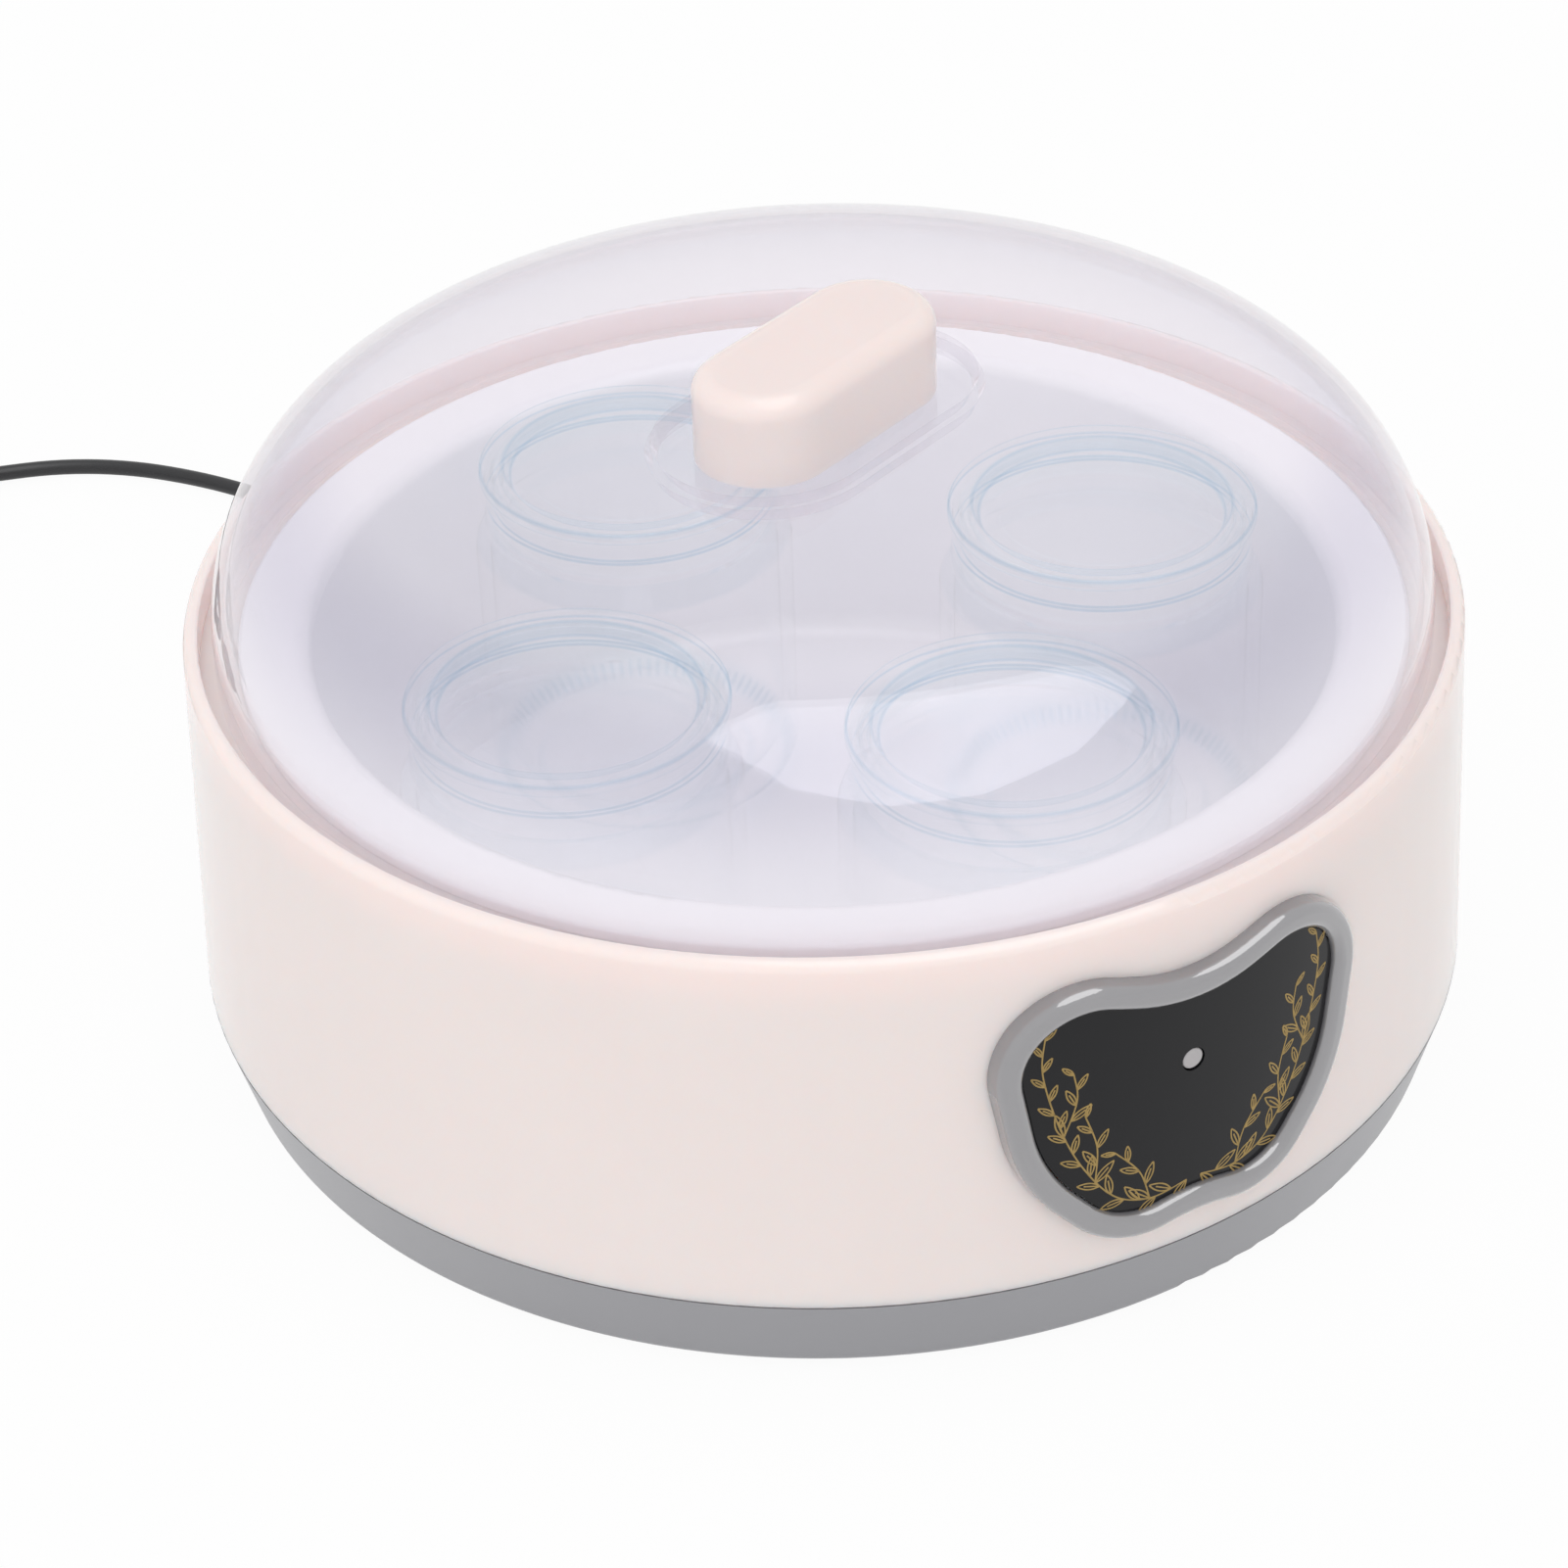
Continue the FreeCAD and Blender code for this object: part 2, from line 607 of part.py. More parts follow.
def board_screws():
    seats = [place + V(0, BOARD_SIZE[1], 0) for place in board_post_places()]
    return [screw(seat, V(0, -1, 0), SMALL_SCREW, BOARD_SCREW_LENGTH) for seat in seats]


def dome(inset):
    """Filled dome of the lid, its surface drawn in by inset, standing on the lid's lower edge."""
    across = LID_RADIUS - LID_CORNER
    reach = LID_CROWN - LID_CORNER
    lean = math.asin(across / reach)
    crown_middle = V(0, 0, Z_CROWN - LID_CROWN)
    corner_middle = crown_middle + V(math.sin(lean), 0, math.cos(lean)) * reach

    def on_corner(angle):
        return corner_middle + V(math.sin(angle), 0, math.cos(angle)) * (LID_CORNER - inset)

    def on_crown(angle):
        return crown_middle + V(math.sin(angle), 0, math.cos(angle)) * (LID_CROWN - inset)

    side = on_corner(math.pi / 2)
    foot = V(side.x, 0, Z_LID)
    heart = V(0, 0, Z_LID)
    outline = Part.Wire([
        line(heart, foot), line(foot, side),
        arc(side, on_corner((lean + math.pi / 2) / 2), on_corner(lean)),
        arc(on_corner(lean), on_crown(lean / 2), on_crown(0)), line(on_crown(0), heart),
    ])
    return Part.Face(outline).revolve(ORIGIN, UP, 360)


def well(grow, floor):
    """Tapered oblong that hollows the finger well, standing on a height."""
    top = Z_CROWN + LID_WALL
    radius = HANDLE_RADIUS + WELL_MARGIN + grow
    slope = WELL_SLOPE * (top - floor) / WELL_DEPTH
    wires = [stadium(HANDLE_SPAN, radius - slope, floor), stadium(HANDLE_SPAN, radius, top)]
    return spun(Part.makeLoft(wires, True, True), LID_TURN)


def handle_places():
    return [polar(side * HANDLE_SPAN / 2, LID_TURN, Z_WELL) for side in (-1, 1)]


def lid_cover():
    """Clear domed shell with the finger well and the holes for the handle screws."""
    outside = dome(0).cut(well(0, Z_WELL))
    inside = dome(LID_WALL).cut(well(LID_WALL, Z_WELL - LID_WALL))
    shell = outside.cut(inside)
    for place in handle_places():
        shell = shell.cut(disc(SMALL_SCREW[0] + FIT_GAP, LID_WALL, Z_WELL - LID_WALL, place))
    return shell


def lid_handle():
    """Cream oblong knob, hollow from below, with two screw bosses."""
    knob = prism(stadium(HANDLE_SPAN, HANDLE_RADIUS, Z_WELL), HANDLE_HEIGHT)
    top = Z_WELL + HANDLE_HEIGHT
    rims = [edge for edge in knob.Edges if edge.BoundBox.ZMin > top - FIT_GAP]
    knob = knob.makeFillet(HANDLE_EDGE, rims)
    hollow_radius = HANDLE_RADIUS - HANDLE_WALL
    hollow = prism(stadium(HANDLE_SPAN, hollow_radius, Z_WELL), HANDLE_HEIGHT - HANDLE_EDGE)
    knob = spun(knob.cut(hollow), LID_TURN)
    bosses = [disc(HANDLE_BOSS, HANDLE_HEIGHT - HANDLE_WALL, Z_WELL, place) for place in handle_places()]
    knob = joined([knob] + bosses)
    for place in handle_places():
        seat = place - UP * LID_WALL
        knob = knob.cut(pilot(seat, UP, SMALL_SCREW, HANDLE_SCREW_LENGTH))
    return knob


def handle_screws():
    seats = [place - UP * LID_WALL for place in handle_places()]
    return [screw(seat, UP, SMALL_SCREW, HANDLE_SCREW_LENGTH) for seat in seats]


def jar_place(gap, degrees):
    """Middle of a jar that stands a gap away from the tub's wall."""
    return polar(TUB_FLOOR_RADIUS - JAR_RADIUS - gap, degrees)


def jar(place):
    """Glass jar with a rounded heel, a bead under the cap and an upright neck."""
    bead_top = Z_MOUTH - NECK_HEIGHT
    bead_low = bead_top - BEAD_HEIGHT
    shoulder = bead_low - SHOULDER_HEIGHT
    mouth_radius = NECK_RADIUS - NECK_WALL
    bead_radius = NECK_RADIUS + BEAD_PROUD
    bore = JAR_RADIUS - JAR_WALL
    inside = Z_JAR + JAR_FLOOR
    slope = BEAD_HEIGHT / 4
    lip = NECK_WALL / 3
    ease = SHOULDER_HEIGHT / 2
    glass = turned([
        (0, Z_JAR + PUNT_DEPTH, 0), (PUNT_RADIUS, Z_JAR + PUNT_DEPTH, 0),
        (PUNT_RADIUS + PUNT_DEPTH, Z_JAR, 0), (JAR_RADIUS, Z_JAR, JAR_HEEL),
        (JAR_RADIUS, shoulder, ease), (NECK_RADIUS, bead_low, 0),
        (bead_radius, bead_low + slope, 0), (bead_radius, bead_top - slope, 0), (NECK_RADIUS, bead_top, 0),
        (NECK_RADIUS, Z_MOUTH - lip, 0), (NECK_RADIUS - lip, Z_MOUTH, 0),
        (mouth_radius + lip, Z_MOUTH, 0), (mouth_radius, Z_MOUTH - lip, 0),
        (mouth_radius, bead_low, ease), (bore, shoulder - ease, ease),
        (bore, inside, JAR_HEEL), (0, inside, 0),
    ])
    glass.translate(place)
    return glass


def jar_cap(place):
    """Plug cap: a brim, a skirt over the neck and a plate sunk into the mouth."""
    skirt_low = Z_MOUTH - CAP_SKIRT
    land_under = Z_MOUTH + BODY_GAP
    plate = Z_CAP - CAP_SINK
    plug_radius = NECK_RADIUS - NECK_WALL - BODY_GAP
    brim_low = Z_CAP - CAP_BRIM_HEIGHT
    ring_outer = CAP_RING_RADIUS + CAP_RING_WALL
    ring_top = plate + CAP_RING_HEIGHT
    inside = NECK_RADIUS + SKIRT_GAP
    skirt = inside + CAP_WALL
    brim = skirt + CAP_BRIM
    cap = turned([
        (skirt, skirt_low, 0), (skirt, brim_low, 0), (brim, brim_low, CAP_EDGE / 2), (brim, Z_CAP, CAP_EDGE),
        (plug_radius, Z_CAP, CAP_EDGE), (plug_radius - CAP_WALL, plate, CAP_EDGE),
        (ring_outer, plate, 0), (ring_outer, ring_top, 0),
        (CAP_RING_RADIUS, ring_top, 0), (CAP_RING_RADIUS, plate, 0), (0, plate, 0),
        (0, plate - CAP_PLATE, 0), (plug_radius, plate - CAP_PLATE, 0),
        (plug_radius, land_under, 0), (inside, land_under, 0), (inside, skirt_low, 0),
    ])
    cap.translate(place)
    return cap


def cord_gland(pan):
    """Rubber gland in the rear wall of the pan, with a ringed boot outside."""
    wall = base_radius(Z_CORD)
    back = V(0, 1, 0)
    inner_end = gland_root()
    boot_start = gland_tip() - GLAND_BOOT
    pieces = [
        Part.makeCylinder(GLAND_RADIUS, boot_start - inner_end, V(0, inner_end, Z_CORD), back),
        Part.makeCylinder(GLAND_FLANGE, GLAND_FLANGE_WALL, V(0, inner_end, Z_CORD), back),
        Part.makeCylinder(GLAND_FLANGE, boot_start - wall + BASE_WALL, V(0, wall - BASE_WALL, Z_CORD), back),
        Part.makeCone(GLAND_RADIUS, GLAND_TIP, GLAND_BOOT, V(0, boot_start, Z_CORD), back),
    ]
    gland = joined(pieces)
    step = GLAND_BOOT / (GLAND_RINGS + 1)
    for i in range(GLAND_RINGS):
        y = boot_start + step * (i + 1)
        groove = Part.makeCylinder(GLAND_RADIUS, step / 4, V(0, y, Z_CORD), back)
        core = Part.makeCylinder(GLAND_TIP, step / 4, V(0, y, Z_CORD), back)
        gland = gland.cut(groove.cut(core))
    return gland.cut(pan)


def gland_tip():
    """Y of the face where the cord leaves the gland."""
    return base_radius(Z_CORD) + GLAND_FLANGE_WALL + GLAND_BOOT


def gland_root():
    """Y of the inner face of the gland."""
    return base_radius(Z_CORD) - 2 * BASE_WALL - GLAND_FLANGE_WALL


def cord_tail():
    """End of the cord inside the pan, from the terminal block to the gland."""
    start = terminal_middle().y + TERMINAL_SIZE[1] / 2
    return Part.makeCylinder(CORD_RADIUS, gland_root() - start, V(0, start, Z_CORD), V(0, 1, 0))


def cord_clamp():
    """Bar that holds the cord down on its saddle."""
    under = Z_CORD + CORD_RADIUS
    bar = block(CLAMP_SIZE, clamp_middle(), under)
    for place in clamp_places():
        bar = bar.cut(disc(SMALL_SCREW[0] + FIT_GAP, CLAMP_SIZE[2], under, place))
    return bar


def clamp_screws():
    top = Z_CORD + CORD_RADIUS + CLAMP_SIZE[2]
    length = CLAMP_SCREW_LENGTH + CLAMP_SIZE[2]
    return [screw(V(place.x, place.y, top), -UP, SMALL_SCREW, length) for place in clamp_places()]


def strap_screws():
    seats = [V(place.x, place.y, Z_STRAP - STRAP_SIZE[2]) for place in boss_places()]
    return [screw(seat, UP, SMALL_SCREW, STRAP_SCREW_LENGTH) for seat in seats]


def base_screws():
    return [screw(base_screw_seat(place), UP, BASE_SCREW, BASE_SCREW_LENGTH) for place in post_places()]


def bent_path(points):
    """Straight runs with tangent arcs as large as the runs allow, and the radii of the arcs."""
    edges = []
    radii = []
    last = points[0]
    for before, here, after in zip(points, points[1:], points[2:]):
        back = before - here
        ahead = after - here
        shorter = min(back.Length, ahead.Length)
        back.normalize()
        ahead.normalize()
        cut = BEND_SHARE * shorter
        half = back.getAngle(ahead) / 2
        radius = cut * math.tan(half)
        inward = (back + ahead).normalize()
        middle = here + inward * (radius / math.sin(half) - radius)
        start = here + back * cut
        end = here + ahead * cut
        edges += [line(last, start), arc(start, middle, end)]
        radii.append(radius)
        last = end
    edges.append(line(last, points[-1]))
    return Part.Wire(edges), radii


def tube(path, radius, start, heading):
    """Round tube swept along a path that starts at a point with a heading."""
    section = Part.Wire([Part.Circle(start, heading, radius).toShape()])
    return path.makePipeShell([section], True, False)


def bent_tube(points, radius):
    path, radii = bent_path(points)
    return tube(path, radius, points[0], points[1] - points[0]), path.Length, radii


def inner_leads():
    """Insulated wires between the terminal block, heater, cutout and lamp board."""
    heater = tab_places(HEATER_PLACE, HEATER_SIZE, TAB_SPREAD[0])
    cutout = tab_places(CUTOUT_PLACE, CUTOUT_SIZE, TAB_SPREAD[1])
    face = terminal_middle().y - TERMINAL_SIZE[1] / 2
    low = Z_PAN + 2 * LEAD_RADIUS
    middle = Z_PAN + TERMINAL_SIZE[2] / 2
    side = TERMINAL_SIZE[0] / 3
    wall = -(POST_PLACE - LEAD_RADIUS)
    board_back = lamp_base() + BOARD_SIZE[1]
    routes = [
        [V(-side, face, middle), V(-side, face - LEAD_RUN, middle),
         heater[0] + V(0, 2 * LEAD_RUN, 0), heater[0]],
        [heater[1], heater[1] + V(0, LEAD_RUN, 0),
         V(cutout[0].x, heater[1].y + LEAD_RUN, cutout[0].z), cutout[0]],
        [cutout[1], cutout[1] + V(0, 2 * LEAD_RUN, 0),
         V(side, face - LEAD_RUN, middle), V(side, face, middle)],
    ]
    for x in (-side / 2, side / 2):
        routes.append([V(x, face, low), V(x, wall, low), V(x, wall, Z_LAMP), V(x, board_back, Z_LAMP)])
    return [bent_tube(route, LEAD_RADIUS)[0] for route in routes]


def coil_middle():
    return V(COIL_MIDDLE[0], gland_tip() + COIL_MIDDLE[1], 0)


def coil_point(quarters):
    """Point of the coil's axis after a number of quarter turns."""
    drawn_in = min(quarters, COIL_QUARTERS - quarters) / 4
    climbed = (quarters - COIL_QUARTERS / 2 + 1) / 2
    climbed = min(max(climbed, 0), 1)
    lift = climbed * climbed * (3 - 2 * climbed)
    point = polar(COIL_OUTER - COIL_PITCH * drawn_in, COIL_START + 90 * quarters)
    return point + coil_middle() + UP * (COIL_LOW + COIL_LAYER * lift)


def coil_heading(quarters):
    """Direction of the coil's axis after a number of quarter turns."""
    step = 0.01
    return (coil_point(quarters + step) - coil_point(quarters - step)).normalize()


def arc_from(start, heading, end):
    """Arc that leaves start along a heading and reaches end."""
    chord = end - start
    sideways = chord - heading * chord.dot(heading)
    inward = V(sideways).normalize()
    radius = chord.Length ** 2 / (2 * sideways.Length)
    half = math.atan2(chord.dot(heading), radius - chord.dot(inward)) / 2
    middle = start + inward * radius + (heading * math.sin(half) - inward * math.cos(half)) * radius
    return arc(start, middle, end)


def biarc(start, heading, end, end_heading):
    """Two arcs that meet smoothly between two points with given headings."""
    span = end - start
    both = heading + end_heading
    spread = 2 * (1 - heading.dot(end_heading))
    reach = (math.sqrt(span.dot(both) ** 2 + spread * span.dot(span)) - span.dot(both)) / spread
    meeting = (start + end + (heading - end_heading) * reach) * 0.5
    return [arc_from(start, heading, meeting), arc_from(end, -end_heading, meeting)]


def coil_ends():
    """Start and end of the coil, where its straight ends stop, and the headings there."""
    first_heading = coil_heading(0)
    last_heading = coil_heading(COIL_QUARTERS)
    start = coil_point(0) - first_heading * 2 * CORD_RADIUS
    end = coil_point(COIL_QUARTERS) + last_heading * COIL_TAIL
    return start, first_heading, end, last_heading


def cord_coil():
    """One unbroken tube: spirals in, climbs a layer and spirals out to the plug."""
    start, heading, end, _ = coil_ends()
    edges = [line(start, coil_point(0))]
    for i in range(COIL_QUARTERS):
        edges += biarc(coil_point(i), coil_heading(i), coil_point(i + 1), coil_heading(i + 1))
    edges.append(line(coil_point(COIL_QUARTERS), end))
    path = Part.Wire(Part.__sortEdges__(edges))
    return tube(path, CORD_RADIUS, start, heading), path.Length


def coil_least_gap():
    """Smallest gap between two turns of the coil, measured on points along its axis."""
    per_quarter = 12
    points = [coil_point(i / per_quarter) for i in range(COIL_QUARTERS * per_quarter + 1)]
    nearest = COIL_OUTER
    for i, here in enumerate(points):
        for there in points[i + 2 * per_quarter:]:
            nearest = min(nearest, here.distanceToPoint(there))
    return nearest - 2 * CORD_RADIUS


def coil_tie():
    """Strap around all turns at one place of the coil."""
    depth = COIL_PITCH * COIL_QUARTERS / 8
    inner = COIL_OUTER - depth - CORD_RADIUS - TIE_GAP
    outer = COIL_OUTER + CORD_RADIUS + TIE_GAP
    low = COIL_LOW - CORD_RADIUS - TIE_GAP
    high = COIL_LOW + COIL_LAYER + CORD_RADIUS + TIE_GAP
    loops = []
    for wall in (TIE_WALL, 0):
        size = (outer - inner + 2 * wall, TIE_WIDTH, high - low + 2 * wall)
        loops.append(block(size, V((inner + outer) / 2, 0, 0), low - wall))
    tie = spun(loops[0].cut(loops[1]), TIE_ANGLE)
    tie.translate(coil_middle())
    return tie


def plug_frame():
    """Placement that puts the plug on the end of the coil, its length along local X."""
    _, _, end, heading = coil_ends()
    return FreeCAD.Placement(end, FreeCAD.Rotation(V(1, 0, 0), heading))


def plug_body():
    """Flat moulded plug with a tapered tail."""
    half = PLUG_WIDTH / 2
    outline = rounded_wire([
        (PLUG_TAIL, -half, PLUG_CORNER), (PLUG_TAIL + PLUG_LENGTH, -half, PLUG_EDGE),
        (PLUG_TAIL + PLUG_LENGTH, half, PLUG_EDGE), (PLUG_TAIL, half, PLUG_CORNER),
    ], flat)
    outline.translate(V(0, 0, -PLUG_THICK / 2))
    body = prism(outline, PLUG_THICK)
    faces = [edge for edge in body.Edges if abs(edge.BoundBox.ZMax - edge.BoundBox.ZMin) < FIT_GAP]
    body = body.makeFillet(PLUG_EDGE / 2, faces)
    tail = Part.makeCone(GLAND_TIP, GLAND_RADIUS, PLUG_TAIL + PLUG_EDGE, ORIGIN, V(1, 0, 0))
    body = joined([body, tail])
    for pin in pin_rods(PLUG_EDGE):
        body = body.cut(pin)
    body.Placement = plug_frame()
    return body


def pin_rods(sunk):
    """Round pins of the plug, let into its face."""
    face = PLUG_TAIL + PLUG_LENGTH - sunk
    rods = []
    for side in (-1, 1):
        start = V(face, side * PIN_SPREAD / 2, 0)
        rods.append(Part.makeCylinder(PIN_RADIUS, PIN_LENGTH + sunk, start, V(1, 0, 0)))
    return rods


def plug_pins():
    rods = pin_rods(PLUG_EDGE)
    for rod in rods:
        rod.Placement = plug_frame().multiply(rod.Placement)
    return rods


def foot(angle):
    """Rubber foot let into the pan."""
    return disc(FOOT_RADIUS, FOOT_HEIGHT + FOOT_SINK, 0, polar(FOOT_PLACE, angle))


def cord_points():
    """Route of the free cord from the gland to the coil."""
    end, heading, _, _ = coil_ends()
    approach = end - heading * COIL_APPROACH
    tip = gland_tip()
    points = [V(0, tip, Z_CORD), V(0, tip + CORD_LEAVE, Z_CORD)]
    for sideways, behind, lift in CORD_ROUTE:
        points.append(V(sideways, tip + behind, Z_LYING + lift))
    return points + [approach, end]


def power_cord():
    shape, length, radii = bent_tube(cord_points(), CORD_RADIUS)
    print("cord radii", [round(radius, 1) for radius in radii])
    print("cord volume", round(shape.Volume, 1), "of", round(math.pi * CORD_RADIUS ** 2 * length, 1))
    return shape, length


def save(name, pieces):
    """Write one node, either a single solid or a group of separate ones."""
    shape = Part.makeCompound(pieces) if isinstance(pieces, list) else pieces
    shape.exportStep("parts/" + name + ".step")


def main():
    os.makedirs("parts", exist_ok=True)
    cord, cord_length = power_cord()
    coil, coil_length = cord_coil()
    print("cord length", round(cord_length + coil_length, 1))
    print("coil volume", round(coil.Volume, 1), "of", round(math.pi * CORD_RADIUS ** 2 * coil_length, 1))
    print("coil least gap", round(coil_least_gap(), 2))
    pan = base_pan()
    nodes = {
        "base_pan": pan,
        "outer_casing": outer_casing(),
        "inner_tub": inner_tub(),
        "heat_spreader": heat_spreader(),
        "heater_element": tabbed_block(HEATER_PLACE, HEATER_SIZE, TAB_SPREAD[0]),
        "thermal_cutout": tabbed_block(CUTOUT_PLACE, CUTOUT_SIZE, TAB_SPREAD[1]),
        "heater_clamp": heater_clamp(),
        "heater_clamp_screws": strap_screws(),
        "terminal_block": block(TERMINAL_SIZE, terminal_middle(), Z_PAN),
        "inner_leads": inner_leads(),
        "badge_bezel": badge_bezel(),
        "badge_panel": badge_panel(),
        "indicator_lamp": indicator_lamp(),
        "lamp_board": lamp_board(),
        "lamp_board_screws": board_screws(),
        "base_screws": base_screws(),
        "cord_gland": cord_gland(pan),
        "cord_tail": cord_tail(),
        "cord_clamp": cord_clamp(),
        "cord_clamp_screws": clamp_screws(),
        "power_cord": cord,
        "cord_coil": coil,
        "coil_tie": coil_tie(),
        "plug_body": plug_body(),
        "plug_pins": plug_pins(),
        "lid_cover": lid_cover(),
        "lid_handle": lid_handle(),
        "handle_screws": handle_screws(),
    }
    for i, angle in enumerate(around(FOOT_COUNT), 1):
        nodes["foot_%d" % i] = foot(angle)
    for i, place in enumerate(JAR_PLACES, 1):
        nodes["jar_%d" % i] = jar(jar_place(*place))
        nodes["jar_cap_%d" % i] = jar_cap(jar_place(*place))
    for name, pieces in nodes.items():
        save(name, pieces)


main()
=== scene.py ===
# %% [markdown]
# # A yogurt maker
# A round cream casing holds a warm tub with glass jars under a clear lid. The solids come from
# the CAD model and already have their true sizes, so this script gives them their finishes and
# adds what CAD leaves out: the soft cord, the print on the badge and the ribs on the jars.

# %% Load the frame
import bmesh
import bpy
import math
from mathutils import Matrix, Vector


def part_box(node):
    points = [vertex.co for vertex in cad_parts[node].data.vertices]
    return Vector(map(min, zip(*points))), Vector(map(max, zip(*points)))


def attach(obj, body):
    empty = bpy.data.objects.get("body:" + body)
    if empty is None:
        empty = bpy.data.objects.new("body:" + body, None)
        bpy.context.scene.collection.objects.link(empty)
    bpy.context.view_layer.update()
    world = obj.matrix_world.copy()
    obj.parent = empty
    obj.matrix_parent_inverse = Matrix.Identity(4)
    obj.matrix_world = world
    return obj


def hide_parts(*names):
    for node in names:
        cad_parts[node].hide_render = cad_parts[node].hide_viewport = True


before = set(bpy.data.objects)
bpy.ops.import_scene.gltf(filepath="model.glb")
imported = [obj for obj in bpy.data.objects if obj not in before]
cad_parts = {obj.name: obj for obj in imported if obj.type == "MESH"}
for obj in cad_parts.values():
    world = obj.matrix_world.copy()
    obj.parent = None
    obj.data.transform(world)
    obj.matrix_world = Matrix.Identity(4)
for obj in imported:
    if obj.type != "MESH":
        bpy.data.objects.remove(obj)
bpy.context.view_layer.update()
MM = 0.001
UP = Vector((0, 0, 1))

# %% [markdown]
# ## Camera
# The photograph was taken with a long lens from the front left. Its ellipses give the height and
# the distance of the camera. It points a little to one side of the object and is slightly tilted.
# Shifting the lens would place the object too, but a shift stays in all other views, so the aim is
# turned by small angles instead.

# %% Camera
PHOTO_SIDE = 1601
FOCAL_PIXELS = 4338.45
SENSOR_WIDTH = 36.0
ORBIT_CENTRE = Vector((0, 0, 2 * MM))
ORBIT_DISTANCE = 847.35 * MM
ORBIT_AZIMUTH = math.radians(-30)
ORBIT_ELEVATION = math.radians(36.87)
AIM_YAW = math.radians(-0.5855)
AIM_PITCH = math.radians(2.4024)
AIM_ROLL = math.radians(-2.0622)


def aimed_matrix():
    """Place and direction of the camera: on its orbit, then turned by the small aim angles."""
    level = math.cos(ORBIT_ELEVATION)
    back = Vector((math.sin(ORBIT_AZIMUTH) * level, -math.cos(ORBIT_AZIMUTH) * level, 0))
    back.z = math.sin(ORBIT_ELEVATION)
    right = (-back).cross(UP).normalized()
    above = right.cross(-back)
    aim = (right * math.tan(AIM_YAW) + above * math.tan(AIM_PITCH) - back).normalized()
    side = aim.cross(UP).normalized()
    above = side.cross(aim)
    right = side * math.cos(AIM_ROLL) + above * math.sin(AIM_ROLL)
    above = above * math.cos(AIM_ROLL) - side * math.sin(AIM_ROLL)
    turn = Matrix((right, above, -aim)).transposed().to_4x4()
    return Matrix.Translation(ORBIT_CENTRE + back * ORBIT_DISTANCE) @ turn


camera_data = bpy.data.cameras.new("camera")
camera_data.sensor_width = SENSOR_WIDTH
camera_data.lens = FOCAL_PIXELS / PHOTO_SIDE * SENSOR_WIDTH
camera = bpy.data.objects.new("camera", camera_data)
camera.matrix_world = aimed_matrix()
bpy.context.scene.collection.objects.link(camera)
bpy.context.scene.camera = camera
bpy.context.scene.view_settings.view_transform = "Standard"
print("lens", round(camera_data.lens, 2))

# %% [markdown]
# ## Cord
# A thin black mains cord leaves the gland at the back and lies on the table. The part that the
# photograph doesn't show is wound into a flat coil of two layers, tied, with the plug beside it.
# The first stretch is a list of points in millimetres, and the coil is worked out by
# a formula.

# %% Route of the cord
CORD_EXIT = (0, 142.65, 10.15)
CORD_ROUTE = [
    CORD_EXIT, (0, 155, 10.15), (-3, 172, 5.2), (-9, 203, 1.9), (-22, 238, 1.9), (-46.5, 266.8, 2.1),
    (-79.9, 276.4, 2.95),
]
COIL_MIDDLE = (-113, 257)
COIL_START = 76
COIL_OUTER = 26.8
COIL_PITCH = 4.2
COIL_QUARTERS = 25
COIL_LOW = 2.95
COIL_LAYER = 4.1
COIL_TAIL = 20
POINTS_PER_QUARTER = 4
SHORT_TURN = 0.01


def coil_point(quarters):
    """Point of the coil after a number of quarter turns: spirals in, climbs a layer, spirals out."""
    radius = COIL_OUTER - COIL_PITCH * min(quarters, COIL_QUARTERS - quarters) / 4
    climbed = min(max((quarters - COIL_QUARTERS / 2 + 1) / 2, 0), 1)
    # A smooth step, so that the climb starts and ends level.
    lift = climbed * climbed * (3 - 2 * climbed)
    angle = math.radians(COIL_START + 90 * quarters)
    x = COIL_MIDDLE[0] + radius * math.cos(angle)
    y = COIL_MIDDLE[1] + radius * math.sin(angle)
    return Vector((x, y, COIL_LOW + COIL_LAYER * lift))


def cord_points():
    """Points of the whole cord in metres: the route, the coil and a straight tail to the plug."""
    steps = range(COIL_QUARTERS * POINTS_PER_QUARTER + 1)
    coil = [coil_point(step / POINTS_PER_QUARTER) for step in steps]
    before, after = [coil_point(COIL_QUARTERS + turn) for turn in (-SHORT_TURN, SHORT_TURN)]
    heading = (after - before).normalized()
    tail = [coil[-1] + heading * COIL_TAIL * share for share in (0.5, 1)]
    return [Vector(point) * MM for point in CORD_ROUTE + coil + tail]


print("turns of the coil", COIL_QUARTERS / 4)

# %% [markdown]
# A swept tube of faces could show the cord, but it would crease where the cord bends. One smooth
# NURBS curve follows the same points as the CAD solid instead. Its bevel is a circle of one metre,
# and each point's radius scales it down to the thickness of the cord, so that Blender also reports
# the true bounds of the curve.

# %% Curve of the cord
CORD_RADIUS = 1.8 * MM
CORD_SIDES = 6
CORD_ORDER = 3


def cord_curve(name, points, radius):
    """Round curve with closed ends that follows these points."""
    curve = bpy.data.curves.new(name, "CURVE")
    curve.dimensions = "3D"
    curve.bevel_depth = 1.0
    curve.bevel_resolution = CORD_SIDES
    curve.use_fill_caps = True
    spline = curve.splines.new("NURBS")
    spline.points.add(len(points) - 1)
    for spot, point in zip(spline.points, points):
        spot.co = (*point, 1)
        spot.radius = radius
    spline.order_u = CORD_ORDER
    spline.use_endpoint_u = True
    cord = bpy.data.objects.new(name, curve)
    bpy.context.scene.collection.objects.link(cord)
    return cord


